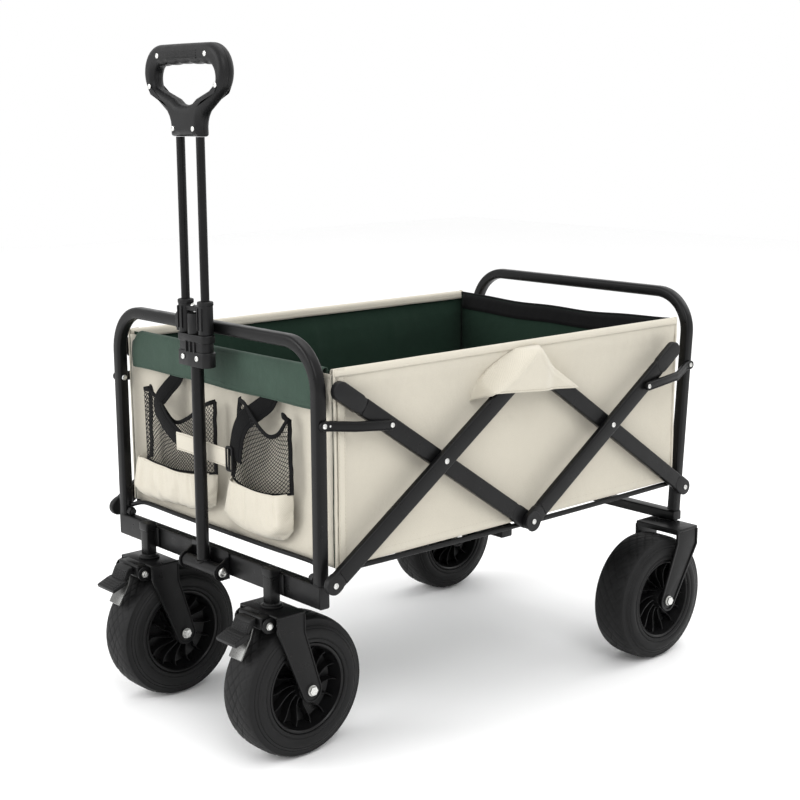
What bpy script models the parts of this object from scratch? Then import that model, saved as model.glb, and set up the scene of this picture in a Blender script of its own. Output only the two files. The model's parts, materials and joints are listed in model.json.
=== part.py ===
"""Folding beach cart: a fabric tub on a scissor frame, two swivel casters, two fixed wheels and a handle.

Metres, +Z up. The handle end faces -Y and the floor is at z = 0. The origin is under the middle of the
overall box. In side view there is one bay each side of the middle, with two rising bars in the outer layer
and two falling bars in the inner one.
"""

import math

import bmesh
import bpy
from mathutils import Matrix, Vector

# ---- Driving dimensions ---------------------------------------------------------------------

GAP = 0.0003            # clearance left between pieces that touch
MID_Y = 0.0315          # middle of the frame bays, from the middle of the overall box

# Frame tubes
POST_X = 0.2380         # post centres, each side
BAY = 0.3700            # post centres, before and behind the middle
TUBE_R = 0.0085
TOP_Z = 0.5800          # centre of the two top tubes
CORNER_R = 0.0620       # centreline radius of the top corners
REAR_LEAN = 0.0660      # rearward lean of the rear frame, per metre of height
FRONT_BAR = dict(half_x=0.2465, half_y=0.0080, low=0.2320, high=0.2640)
REAR_BAR = dict(half_x=0.2460, half_y=0.0100, low=0.2120, high=0.2280)
CENTRE_BAR = dict(half_x=0.2400, y0=-0.0350, y1=-0.0135, low=0.2600, high=0.2795)     # y from the middle
PIVOT_BORE_IN = 0.0010  # how far a pivot bore reaches past a post's centre

# Scissor bars
BAR_ANGLE = math.radians(34.2)      # slope of every bar with the cart open
BAR_H = 0.0250
BAR_T = 0.0105
INNER_X = 0.2475        # inner face of the inner layer of bars
OUTER_X = 0.2590        # inner face of the outer layer of bars
LINK_POST_X = 0.2470    # inner face of a link where it lies against its post
FRONT_LINK_X = 0.2590   # inner face of a front link where it crosses an inner bar
REAR_LINK_X = 0.2725    # inner face of a rear link where it crosses an outer bar
OUTER_ARM_Y = 0.1965    # post pivot to crossing, along Y
INNER_ARM_Y = 0.1735    # crossing to the middle, along Y
PIVOT_Z = 0.2696        # bottom pivots on the posts
FRONT_FREE_ARM = 0.2080 # crossing to the free top end of a front falling bar
REAR_FREE_ARM = 0.1740  # crossing to the free top end of a rear rising bar
PIN_R = 0.0040
BORE_R = 0.0045
RIVET_R = 0.0060
LINK_H = 0.0135
LINK_T = 0.0050
FRONT_LINK_Z = 0.4770
REAR_LINK_Z = 0.4680
FRONT_LINK_REACH = 0.1050
REAR_LINK_REACH = 0.1360
FRONT_LINK_STEP = (0.0110, 0.0420)      # where a front link bends outwards, from its post
REAR_LINK_STEP = (0.0110, 0.0660)       # where a rear link bends outwards, from its post

# Wheels
WHEEL_R = 0.1000
WHEEL_W = 0.0700
RIM_R = 0.0640
AXLE_R = 0.0040
FRONT_WHEEL_X = 0.1520
FRONT_WHEEL_Y = MID_Y - 0.3530
REAR_WHEEL_X = 0.2420
REAR_WHEEL_Y = MID_Y + 0.3008

# Forks
LEG_IN = 0.0392         # wheel centre to the inner face of a leg
LEG_T = 0.0033
CROWN_FRONT = dict(y0=-0.0560, y1=-0.0090, low=0.2122, high=0.2160)     # y from the front axle
CROWN_REAR = dict(y0=0.0190, y1=0.0700, low=0.2065, high=0.2117)        # y from the rear axle
LEG_END_R = 0.0170
STEM = dict(half_x=0.0090, half_y=0.0080, low=0.2190, high=0.2710)
BEARING = dict(r=0.0150, low=0.2163, high=0.2223)
BRAKE_Z = 0.2030        # brake pedal pivot
BRAKE_DEPTH = 0.0150    # the brake housing, ahead of the crown
HOUSING_HALF_X = 0.0260
PEDAL_HALF_X = 0.0230
SHOE_HALF_X = 0.0160
BOLT_CLEAR = 0.0006     # radial clearance of a turning piece on its bolt
BOLT_HEAD = dict(r=0.0070, length=0.0050)

# Handle
MAST_Y = MID_Y - BAY - 0.0220
MAST_R = 0.0090
FOOT_Z = 0.2400         # axis of the foot tube, which the handle turns about
FOOT_R = 0.0100
FOOT_HALF = 0.0400
ROD_X = 0.0235
ROD_R = 0.0060
MAST_TOP = 0.6050
BRACKET = dict(half_x=0.0450, low=0.2380, high=0.2660, thickness=0.0012)
EAR = dict(inner=0.0412, r=0.0125, low=0.2250, high=0.2680)
PIVOT_HEAD = dict(inner=0.0453, outer=0.0505, r=0.0075)
SLIDE_CLEAR = 0.0004    # radial clearance of the mast and the rods in their guides
GUIDE = dict(low=0.5720, high=0.6180, r=0.0105)
COLLAR = dict(low=0.5270, high=0.5717, r=0.0120)
BUTTON = dict(x0=0.0385, x1=0.0430, half_y=0.0060, low=0.5760, high=0.5960)
ROD_LOW = 0.5600
GRIP_LOW = 0.8375
GRIP_TOP = 0.9590
GRIP_HALF_T = 0.0125
SHOULDER = dict(x=0.0575, r=0.0370)                     # round shoulders of the grip
OPENING = dict(x=0.0560, below_top=0.0450, r=0.0165)    # round corners of the hand opening

# Fabric tub
WALL_T = 0.0040
TUB_X = 0.2455          # outer face of the side walls
TUB_Y = 0.3500          # outer faces of the end walls, from the middle
TUB_LOW = 0.2830
TUB_TOP = 0.5460
MAT_T = 0.0060
CLOTH_GAP = 0.0005      # clearance between two panels of cloth
FLAP = dict(half_x=0.2280, low=0.4910, above_tub=0.0020, thickness=0.0040)
POCKET = dict(x0=0.0180, x1=0.1880, low=0.3120, high=0.4850, depth=0.0240)
WIRE = dict(z=0.2790, r=0.0038, ahead=0.0060, bend=0.0120, hook=0.0095)

SIDES = (("left", -1), ("right", 1))

# ---- Scene and helpers -------------------------------------------------------------------------

for old in list(bpy.data.objects):
    bpy.data.objects.remove(old, do_unlink=True)

PARTS = bpy.data.collections.new("beach_cart")
CUTTERS = bpy.data.collections.new("cutters")
bpy.context.scene.collection.children.link(PARTS)
bpy.context.scene.collection.children.link(CUTTERS)


def finish(name, rgb, roughness, metallic=0.0):
    """A plain Principled material."""
    material = bpy.data.materials.new(name)
    material.use_nodes = True
    shader = material.node_tree.nodes["Principled BSDF"]
    shader.inputs["Base Color"].default_value = (*rgb, 1.0)
    shader.inputs["Roughness"].default_value = roughness
    shader.inputs["Metallic"].default_value = metallic
    return material


STEEL = finish("black_steel", (0.018, 0.018, 0.020), 0.38, 0.2)
PLASTIC = finish("black_plastic", (0.022, 0.022, 0.024), 0.55)
RUBBER = finish("black_rubber", (0.020, 0.020, 0.021), 0.75)
SILVER = finish("zinc", (0.62, 0.62, 0.60), 0.35, 1.0)
CREAM = finish("cream_fabric", (0.66, 0.62, 0.53), 0.90)
GREEN = finish("green_fabric", (0.035, 0.070, 0.055), 0.90)
MESH = finish("black_mesh", (0.020, 0.020, 0.020), 0.85)


def add(name, mesh, material, collection=PARTS):
    """Put a mesh into the scene as one named piece."""
    piece = bpy.data.objects.new(name, mesh)
    collection.objects.link(piece)
    mesh.materials.clear()
    mesh.materials.append(material)
    return piece


def hide_guide(piece):
    """Mark a piece as a cutter, which is not part of the cart."""
    piece.hide_render = True
    piece.display_type = "WIRE"


def baked(piece, name, material, collection=PARTS):
    """Replace a piece by its evaluated mesh, with the seams of its caps welded."""
    bpy.context.view_layer.update()
    depsgraph = bpy.context.evaluated_depsgraph_get()
    mesh = bpy.data.meshes.new_from_object(piece.evaluated_get(depsgraph))
    work = bmesh.new()
    work.from_mesh(mesh)
    bmesh.ops.remove_doubles(work, verts=work.verts, dist=1e-5)
    bmesh.ops.recalc_face_normals(work, faces=work.faces)
    work.to_mesh(mesh)
    work.free()
    mesh.transform(piece.matrix_world)
    bpy.data.objects.remove(piece, do_unlink=True)
    solid = add(name, mesh, material, collection)
    mesh.shade_smooth()
    mesh.set_sharp_from_angle(angle=math.radians(35))
    return solid


def box(name, low, high, material, collection=PARTS, bevel=0.0):
    """A box between two corners, with rounded edges if asked."""
    work = bmesh.new()
    bmesh.ops.create_cube(work, size=1.0)
    size = [b - a for a, b in zip(low, high)]
    middle = [(a + b) / 2 for a, b in zip(low, high)]
    bmesh.ops.scale(work, vec=size, verts=work.verts)
    bmesh.ops.translate(work, vec=middle, verts=work.verts)
    mesh = bpy.data.meshes.new(name)
    work.to_mesh(mesh)
    work.free()
    piece = add(name, mesh, material, collection)
    if bevel:
        edge = piece.modifiers.new("rounded_edges", "BEVEL")
        edge.width = bevel
        edge.segments = 1
    return piece


def cylinder(name, start, end, radius, material, collection=PARTS, sides=16):
    """A round bar from start to end."""
    axis = Vector(end) - Vector(start)
    turn = axis.to_track_quat("Z", "Y").to_matrix().to_4x4()
    place = Matrix.Translation((Vector(start) + Vector(end)) / 2) @ turn
    work = bmesh.new()
    bmesh.ops.create_cone(
        work, cap_ends=True, segments=sides, radius1=radius, radius2=radius, depth=axis.length
    )
    bmesh.ops.transform(work, matrix=place, verts=work.verts)
    mesh = bpy.data.meshes.new(name)
    work.to_mesh(mesh)
    work.free()
    return add(name, mesh, material, collection)


def tube(name, path, radius, material, resolution=2):
    """A round bar along a path of points."""
    data = bpy.data.curves.new(name, "CURVE")
    data.dimensions = "3D"
    data.bevel_depth = radius
    data.bevel_resolution = resolution
    data.use_fill_caps = True
    spline = data.splines.new("POLY")
    spline.points.add(len(path) - 1)
    for point, place in zip(spline.points, path):
        point.co = (*place, 1.0)
    piece = bpy.data.objects.new(name + "_curve", data)
    PARTS.objects.link(piece)
    return baked(piece, name, material)


def circle(centre, radius, count=12):
    """Points of a circle in an outline's plane."""
    steps = [2 * math.pi * i / count for i in range(count)]
    return [(centre[0] + radius * math.cos(a), centre[1] + radius * math.sin(a)) for a in steps]


def arc(centre, radius, start_deg, end_deg, count):
    """Points of an arc in an outline's plane."""
    steps = [math.radians(start_deg + (end_deg - start_deg) * i / count) for i in range(count + 1)]
    return [(centre[0] + radius * math.cos(a), centre[1] + radius * math.sin(a)) for a in steps]


# Each plane maps an outline's (u, v) and its thickness w to world axes.
PLANES = {
    "YZ": Matrix(((0, 0, 1), (1, 0, 0), (0, 1, 0))).to_4x4(),
    "XZ": Matrix(((1, 0, 0), (0, 0, -1), (0, 1, 0))).to_4x4(),
    "XY": Matrix.Identity(4),
}


def plate(name, plane, outlines, low, high, material, collection=PARTS):
    """A flat outline, with holes, from low to high along the plane's normal axis."""
    data = bpy.data.curves.new(name, "CURVE")
    data.dimensions = "2D"
    data.fill_mode = "BOTH"
    data.extrude = (high - low) / 2
    for outline in outlines:
        spline = data.splines.new("POLY")
        spline.points.add(len(outline) - 1)
        spline.use_cyclic_u = True
        for point, (u, v) in zip(spline.points, outline):
            point.co = (u, v, 0.0, 1.0)
    piece = bpy.data.objects.new(name + "_curve", data)
    PARTS.objects.link(piece)
    middle = (low + high) / 2
    normal = {"YZ": (middle, 0, 0), "XZ": (0, middle, 0), "XY": (0, 0, middle)}[plane]
    piece.matrix_world = Matrix.Translation(normal) @ PLANES[plane]
    return baked(piece, name, material, collection)


def turned(name, profile, centre, material, steps=32):
    """A turned ring or disc about an axis along X: a closed profile of (radius, x), outer side first."""
    mesh = bpy.data.meshes.new(name + "_profile")
    count = len(profile)
    edges = [(i, (i + 1) % count) for i in range(count)]
    mesh.from_pydata([(radius, 0.0, -along) for radius, along in profile], edges, [])
    piece = bpy.data.objects.new(name + "_profile", mesh)
    PARTS.objects.link(piece)
    screw = piece.modifiers.new("turn", "SCREW")
    screw.axis = "Z"
    screw.steps = steps
    screw.render_steps = steps
    screw.use_merge_vertices = True
    screw.merge_threshold = 1e-5
    piece.matrix_world = Matrix.Translation(centre) @ Matrix.Rotation(-math.pi / 2, 4, "Y")
    return baked(piece, name, material)


def combine(piece, others, operation):
    """Join cutters to a piece, or cut them from it."""
    for other in others:
        hide_guide(other)
        step = piece.modifiers.new(operation.lower(), "BOOLEAN")
        step.operation = operation
        step.object = other
    return piece


def rear_post_y(z):
    """Centre of a rear post at a height."""
    return MID_Y + BAY + REAR_LEAN * (z - PIVOT_Z)


# ---- Frame tubes -------------------------------------------------------------------------------


def hoop_path(post_y, low):
    """An upside-down U of tube across the cart, whose posts follow post_y(z)."""
    outline = [(-POST_X, low)]
    outline += arc((-POST_X + CORNER_R, TOP_Z - CORNER_R), CORNER_R, 180, 90, 6)
    outline += arc((POST_X - CORNER_R, TOP_Z - CORNER_R), CORNER_R, 90, 0, 6)
    outline += [(POST_X, low)]
    return [(x, post_y(z), z) for x, z in outline]


def make_frames():
    """The front and rear hoops, with the bores of the pivots that sit on their posts."""
    front = tube("front_frame_hoop", hoop_path(lambda z: MID_Y - BAY, FRONT_BAR["high"] + GAP), TUBE_R, STEEL)
    rear_low = REAR_BAR["high"] + GAP + TUBE_R * REAR_LEAN
    rear = tube("rear_frame_hoop", hoop_path(rear_post_y, rear_low), TUBE_R, STEEL)
    for side, sign in SIDES:
        for label, hoop, y, z in (
            ("front_link", front, MID_Y - BAY, FRONT_LINK_Z),
            ("front_pivot", front, MID_Y - BAY, PIVOT_Z),
            ("rear_link", rear, rear_post_y(REAR_LINK_Z), REAR_LINK_Z),
            ("rear_pivot", rear, MID_Y + BAY, PIVOT_Z),
        ):
            start = (sign * (POST_X - PIVOT_BORE_IN), y, z)
            end = (sign * (POST_X + 2 * TUBE_R), y, z)
            bore = cylinder(f"bore_{label}_{side}", start, end, BORE_R, STEEL, CUTTERS, 12)
            combine(hoop, [bore], "DIFFERENCE")


def make_crossbars():
    """The tall front crossbar, the rear crossbar and the centre one."""
    y = MID_Y - BAY
    low = (-FRONT_BAR["half_x"], y - FRONT_BAR["half_y"], FRONT_BAR["low"])
    high = (FRONT_BAR["half_x"], y + FRONT_BAR["half_y"], FRONT_BAR["high"])
    box("front_crossbar", low, high, STEEL)
    rear_y = rear_post_y(REAR_BAR["high"])
    low = (-REAR_BAR["half_x"], rear_y - REAR_BAR["half_y"], REAR_BAR["low"])
    high = (REAR_BAR["half_x"], rear_y + REAR_BAR["half_y"], REAR_BAR["high"])
    box("rear_crossbar", low, high, STEEL)
    low = (-CENTRE_BAR["half_x"], MID_Y + CENTRE_BAR["y0"], CENTRE_BAR["low"])
    high = (CENTRE_BAR["half_x"], MID_Y + CENTRE_BAR["y1"], CENTRE_BAR["high"])
    box("centre_crossbar", low, high, STEEL, bevel=0.0015)


# ---- Scissor bars ------------------------------------------------------------------------------

COS, SIN = math.cos(BAR_ANGLE), math.sin(BAR_ANGLE)
FRONT_PIVOT = (MID_Y - BAY, PIVOT_Z)
CROSS_Z = PIVOT_Z + OUTER_ARM_Y * math.tan(BAR_ANGLE)
FRONT_CROSS = (MID_Y - INNER_ARM_Y, CROSS_Z)
REAR_CROSS = (MID_Y + INNER_ARM_Y, CROSS_Z)
TOP_CENTRE = (MID_Y, CROSS_Z + INNER_ARM_Y * math.tan(BAR_ANGLE))
LOW_CENTRE = (MID_Y, CROSS_Z - INNER_ARM_Y * math.tan(BAR_ANGLE))
REAR_PIVOT = (MID_Y + BAY, PIVOT_Z)
FRONT_FREE = (FRONT_CROSS[0] - FRONT_FREE_ARM * COS, FRONT_CROSS[1] + FRONT_FREE_ARM * SIN)
REAR_FREE = (REAR_CROSS[0] + REAR_FREE_ARM * COS, REAR_CROSS[1] + REAR_FREE_ARM * SIN)


def strip_outline(start, end, height):
    """A flat bar with round ends, from start to end in the YZ plane."""
    angle = math.degrees(math.atan2(end[1] - start[1], end[0] - start[0]))
    far = arc(end, height / 2, angle - 90, angle + 90, 6)
    near = arc(start, height / 2, angle + 90, angle + 270, 6)
    return far + near


def sorted_span(sign, inner, outer):
    """Low and high x of a layer on one side."""
    return (inner, outer) if sign > 0 else (-outer, -inner)


def bar(name, sign, start, end, layer_x, bores=(), height=BAR_H, thickness=BAR_T):
    """One flat scissor bar or link in its layer."""
    low, high = sorted_span(sign, layer_x, layer_x + thickness)
    outlines = [strip_outline(start, end, height)] + [circle(b, BORE_R) for b in bores]
    return plate(name, "YZ", outlines, low, high, STEEL)


def rivet(piece, sign, place, tip_x, face_x):
    """A rivet fixed in a bar: its head stands 2 mm proud of the bar's face and its shank ends at tip_x."""
    label = f"{piece.name}_rivet_{len(piece.modifiers)}"
    tip, root = (sign * tip_x, *place), (sign * (face_x - 0.004), *place)
    shank = cylinder(label, tip, root, PIN_R, STEEL, CUTTERS, 12)
    under, top = (sign * (face_x - 0.003), *place), (sign * (face_x + 0.002), *place)
    head = cylinder(label + "_head", under, top, RIVET_R, STEEL, CUTTERS, 12)
    combine(piece, [shank, head], "UNION")


def make_scissors():
    """Eight bars and four links, both sides."""
    inner_tip = INNER_X + 0.0005
    outer_face = OUTER_X + BAR_T
    post_tip = POST_X + 0.0012
    for side, sign in SIDES:
        rise = bar(f"front_rising_bar_{side}", sign, FRONT_PIVOT, TOP_CENTRE, OUTER_X)
        rivet(rise, sign, FRONT_CROSS, inner_tip, outer_face)
        rivet(rise, sign, TOP_CENTRE, inner_tip, outer_face)
        rivet(rise, sign, FRONT_PIVOT, post_tip, outer_face)
        bores = (FRONT_CROSS, LOW_CENTRE)
        bar(f"front_falling_bar_{side}", sign, FRONT_FREE, LOW_CENTRE, INNER_X, bores)
        rise = bar(f"rear_rising_bar_{side}", sign, LOW_CENTRE, REAR_FREE, OUTER_X)
        rivet(rise, sign, REAR_CROSS, inner_tip, outer_face)
        rivet(rise, sign, LOW_CENTRE, inner_tip, outer_face)
        bores = (TOP_CENTRE, REAR_CROSS)
        fall = bar(f"rear_falling_bar_{side}", sign, TOP_CENTRE, REAR_PIVOT, INNER_X, bores)
        rivet(fall, sign, REAR_PIVOT, post_tip, INNER_X + BAR_T)
        post = (MID_Y - BAY, FRONT_LINK_Z)
        far = link_end(post, FRONT_LINK_REACH, FRONT_CROSS, -1)
        link(f"front_link_{side}", sign, post, far, FRONT_LINK_X - LINK_POST_X, FRONT_LINK_STEP)
        post = (rear_post_y(REAR_LINK_Z), REAR_LINK_Z)
        far = link_end(post, REAR_LINK_REACH, REAR_CROSS, 1)
        link(f"rear_link_{side}", sign, post, far, REAR_LINK_X - LINK_POST_X, REAR_LINK_STEP)


def link_end(post, reach, cross, way):
    """Where a link of this reach, from its post, meets the free bar that rises from a crossing."""
    lowest, highest = 0.0, REAR_FREE_ARM
    for _ in range(40):
        along = (lowest + highest) / 2
        point = (cross[0] + way * along * COS, cross[1] + along * SIN)
        if math.dist(post, point) > reach:
            lowest = along
        else:
            highest = along
    return point


def link(name, sign, post, far, rise, step):
    """A strip riveted to the face of its post, which bends outwards by rise over a step of its length."""
    piece = bar(name, sign, post, far, LINK_POST_X, (), LINK_H, LINK_T)
    centre = Vector((0, *post))
    heading = (Vector((0, *far)) - centre).normalized()
    mesh = bmesh.new()
    mesh.from_mesh(piece.data)
    for reach in step:
        everything = mesh.verts[:] + mesh.edges[:] + mesh.faces[:]
        bmesh.ops.bisect_plane(mesh, geom=everything, plane_co=centre + heading * reach, plane_no=heading)
    for vert in mesh.verts:
        share = ((vert.co - centre).dot(heading) - step[0]) / (step[1] - step[0])
        vert.co.x += sign * rise * min(max(share, 0.0), 1.0)
    mesh.to_mesh(piece.data)
    mesh.free()
    rivet(piece, sign, post, POST_X + 0.0012, LINK_POST_X + LINK_T)


# ---- Wheels and forks --------------------------------------------------------------------------


def make_wheel(label, x, y):
    """A wide tyre, its moulded hub and the bolt that they turn on."""
    centre = (x, y, WHEEL_R)
    half = WHEEL_W / 2
    tyre = [
        (RIM_R, -half),
        (RIM_R + 0.020, -half + 0.0015),
        (WHEEL_R - 0.0065, -half + 0.0075),
        (WHEEL_R - 0.0015, -half * 0.5),
        (WHEEL_R, 0.0),
    ]
    tyre += [(radius, -along) for radius, along in reversed(tyre[:-1])]
    turned(f"tyre_{label}", tyre, centre, RUBBER, 40)
    inner = RIM_R - GAP
    hub = [
        (inner, -half + 0.003),
        (inner, half - 0.003),
        (inner - 0.008, half - 0.003),
        (inner - 0.012, 0.006),
        (0.0180, 0.004),
        (0.0150, half - 0.001),
        (AXLE_R + BOLT_CLEAR, half - 0.001),
    ]
    hub += [(radius, -along) for radius, along in reversed(hub[1:])]
    turned(f"hub_{label}", hub[1:], centre, PLASTIC, 24)
    reach = LEG_IN + LEG_T + 0.0030
    bolt = cylinder(f"axle_bolt_{label}", (x - reach, y, WHEEL_R), (x + reach, y, WHEEL_R), AXLE_R, SILVER)
    face = LEG_IN + LEG_T + GAP
    for i, way in enumerate((-1, 1)):
        under = (x + way * face, y, WHEEL_R)
        top = (x + way * (face + BOLT_HEAD["length"]), y, WHEEL_R)
        head = cylinder(f"bolt_head_{label}_{i}", under, top, BOLT_HEAD["r"], SILVER, CUTTERS, 6)
        combine(bolt, [head], "UNION")


def make_fork(label, x, axle_y, crown, lean):
    """A crown plate with two tapered legs that carry the wheel's bolt. Returns the fork."""
    y0, y1 = axle_y + crown["y0"], axle_y + crown["y1"]
    end = (axle_y, WHEEL_R)
    outline = [(y0, crown["high"]), (y0, crown["high"] - 0.022)]
    outline += arc(end, LEG_END_R, 180 + lean, 360 + lean, 8)
    outline += [(y1, crown["high"] - 0.030), (y1, crown["high"])]
    hole = circle(end, AXLE_R + BOLT_CLEAR)
    reach = LEG_IN + LEG_T
    legs = []
    for i, way in enumerate((-1, 1)):
        low, high = sorted_span(way, LEG_IN, reach)
        leg = plate(f"fork_leg_{label}_{i}", "YZ", [outline, hole], x + low, x + high, STEEL, CUTTERS)
        legs.append(leg)
    fork = box(f"fork_{label}", (x - reach, y0, crown["low"]), (x + reach, y1, crown["high"]), STEEL)
    return combine(fork, legs, "UNION")


def make_brake(side, x, fork):
    """A caster's brake: the housing on the fork's front, and the pedal and plate that turn together."""
    z = BRAKE_Z
    crown_y = FRONT_WHEEL_Y + CROWN_FRONT["y0"]
    low = (x - HOUSING_HALF_X, crown_y - BRAKE_DEPTH, z - 0.0060)
    high = (x + HOUSING_HALF_X, crown_y + 0.0050, z + 0.0128)
    housing = box(f"brake_housing_{side}", low, high, STEEL, CUTTERS)
    combine(fork, [housing], "UNION")
    rear = crown_y - BRAKE_DEPTH - 0.0018
    pedal = [
        (rear, z + 0.0115),
        (rear - 0.0080, z + 0.0095),
        (rear - 0.0190, z - 0.0080),
        (rear - 0.0380, z - 0.0165),
        (rear - 0.0365, z - 0.0215),
        (rear - 0.0170, z - 0.0150),
        (rear - 0.0040, z - 0.0010),
        (rear, z - 0.0005),
    ]
    plate(f"brake_pedal_{side}", "YZ", [pedal], x - PEDAL_HALF_X, x + PEDAL_HALF_X, PLASTIC)
    shoe = [
        (rear - 0.0005, z - 0.0030),
        (rear - 0.0210, z - 0.0460),
        (rear - 0.0230, z - 0.0450),
        (rear - 0.0040, z - 0.0045),
    ]
    plate(f"brake_plate_{side}", "YZ", [shoe], x - SHOE_HALF_X, x + SHOE_HALF_X, SILVER)


def make_running_gear():
    """Casters in front, fixed wheels behind."""
    for side, sign in SIDES:
        x = sign * FRONT_WHEEL_X
        stem_y = MID_Y - BAY - FRONT_BAR["half_y"] - GAP - STEM["half_y"]
        low = (x - STEM["half_x"], stem_y - STEM["half_y"], STEM["low"])
        high = (x + STEM["half_x"], stem_y + STEM["half_y"], STEM["high"])
        stem = box(f"caster_stem_{side}", low, high, STEEL)
        low, high = (x, stem_y, BEARING["low"]), (x, stem_y, BEARING["high"])
        race = cylinder(f"bearing_race_{side}", low, high, BEARING["r"], STEEL, CUTTERS, 20)
        combine(stem, [race], "UNION")
        fork = make_fork(f"front_{side}", x, FRONT_WHEEL_Y, CROWN_FRONT, 12)
        make_brake(side, x, fork)
        make_wheel(f"front_{side}", x, FRONT_WHEEL_Y)
        x = sign * REAR_WHEEL_X
        make_fork(f"rear_{side}", x, REAR_WHEEL_Y, CROWN_REAR, -22)
        make_wheel(f"rear_{side}", x, REAR_WHEEL_Y)


# ---- Handle ------------------------------------------------------------------------------------


def make_handle():
    """Mast on a foot tube, rod guide and collar, twin rods and a two-shell grip."""
    foot = [(FOOT_R, -FOOT_HALF), (FOOT_R, FOOT_HALF), (BORE_R, FOOT_HALF), (BORE_R, -FOOT_HALF)]
    turned("handle_foot_tube", foot, (0, MAST_Y, FOOT_Z), STEEL, 16)
    make_foot_bracket()
    cylinder("handle_mast", (0, MAST_Y, FOOT_Z + FOOT_R + GAP), (0, MAST_Y, MAST_TOP), MAST_R, STEEL)
    rods = [circle((sign * ROD_X, MAST_Y), ROD_R + SLIDE_CLEAR, 16) for _, sign in SIDES]
    holes = [circle((0, MAST_Y), MAST_R + SLIDE_CLEAR, 16), *rods]
    right, left = (ROD_X, MAST_Y), (-ROD_X, MAST_Y)
    sleeve = arc(right, GUIDE["r"], -120, 120, 10) + arc(left, GUIDE["r"], 60, 300, 10)
    plate("rod_guide", "XY", [sleeve, *holes], GUIDE["low"], GUIDE["high"], PLASTIC)
    block = arc(right, COLLAR["r"], -70, 70, 8) + arc(left, COLLAR["r"], 110, 250, 8)
    plate("mast_collar", "XY", [block, *holes], COLLAR["low"], COLLAR["high"], PLASTIC)
    low = (-BUTTON["x1"], MAST_Y - BUTTON["half_y"], BUTTON["low"])
    high = (-BUTTON["x0"], MAST_Y + BUTTON["half_y"], BUTTON["high"])
    box("rod_lock_button", low, high, PLASTIC, bevel=0.0010)
    for side, sign in SIDES:
        low, high = (sign * ROD_X, MAST_Y, ROD_LOW), (sign * ROD_X, MAST_Y, GRIP_LOW - GAP)
        cylinder(f"handle_rod_{side}", low, high, ROD_R, STEEL)
    make_grip()


def make_foot_bracket():
    """The two-eared bracket on the front crossbar, and the bolt that the foot tube turns on."""
    front = MID_Y - BAY - FRONT_BAR["half_y"] - GAP
    low = (-BRACKET["half_x"], front - BRACKET["thickness"], BRACKET["low"])
    high = (BRACKET["half_x"], front, BRACKET["high"])
    bracket = box("handle_bracket", low, high, STEEL)
    ear = [(front, EAR["low"]), (front, EAR["high"]), (front - 0.0080, EAR["high"])]
    ear += arc((MAST_Y, FOOT_Z), EAR["r"], 150, 300, 6)
    hole = circle((MAST_Y, FOOT_Z), BORE_R)
    reach = PIVOT_HEAD["inner"] + 0.0047
    bolt_ends = [(way * reach, MAST_Y, FOOT_Z) for way in (-1, 1)]
    bolt = cylinder("handle_pivot_bolt", *bolt_ends, PIN_R, SILVER)
    for side, sign in SIDES:
        low, high = sorted_span(sign, EAR["inner"], BRACKET["half_x"])
        lug = plate(f"bracket_ear_{side}", "YZ", [ear, hole], low, high, STEEL, CUTTERS)
        combine(bracket, [lug], "UNION")
        under = (sign * PIVOT_HEAD["inner"], MAST_Y, FOOT_Z)
        top = (sign * PIVOT_HEAD["outer"], MAST_Y, FOOT_Z)
        head = cylinder(f"pivot_bolt_head_{side}", under, top, PIVOT_HEAD["r"], SILVER, CUTTERS, 6)
        combine(bolt, [head], "UNION")


def make_grip():
    """The two shells of the loop grip, split on the plane of the rods."""
    shoulder = arc((SHOULDER["x"], GRIP_TOP - SHOULDER["r"]), SHOULDER["r"], -40, 90, 7)
    outer = [(0.0340, GRIP_LOW), (0.0340, 0.8600), (0.0400, 0.8660), *shoulder]
    outline = outer + [(-x, z) for x, z in reversed(outer)]
    opening = [(0.0110, 0.8820), (0.0230, 0.8870)]
    opening += arc((OPENING["x"], GRIP_TOP - OPENING["below_top"]), OPENING["r"], -40, 90, 5)
    opening += [(-x, z) for x, z in reversed(opening)]
    for name, low, high in (
        ("grip_front_shell", MAST_Y - GRIP_HALF_T, MAST_Y - GAP / 2),
        ("grip_rear_shell", MAST_Y + GAP / 2, MAST_Y + GRIP_HALF_T),
    ):
        plate(name, "XZ", [outline, opening], low, high, PLASTIC)


# ---- Fabric tub --------------------------------------------------------------------------------


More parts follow.
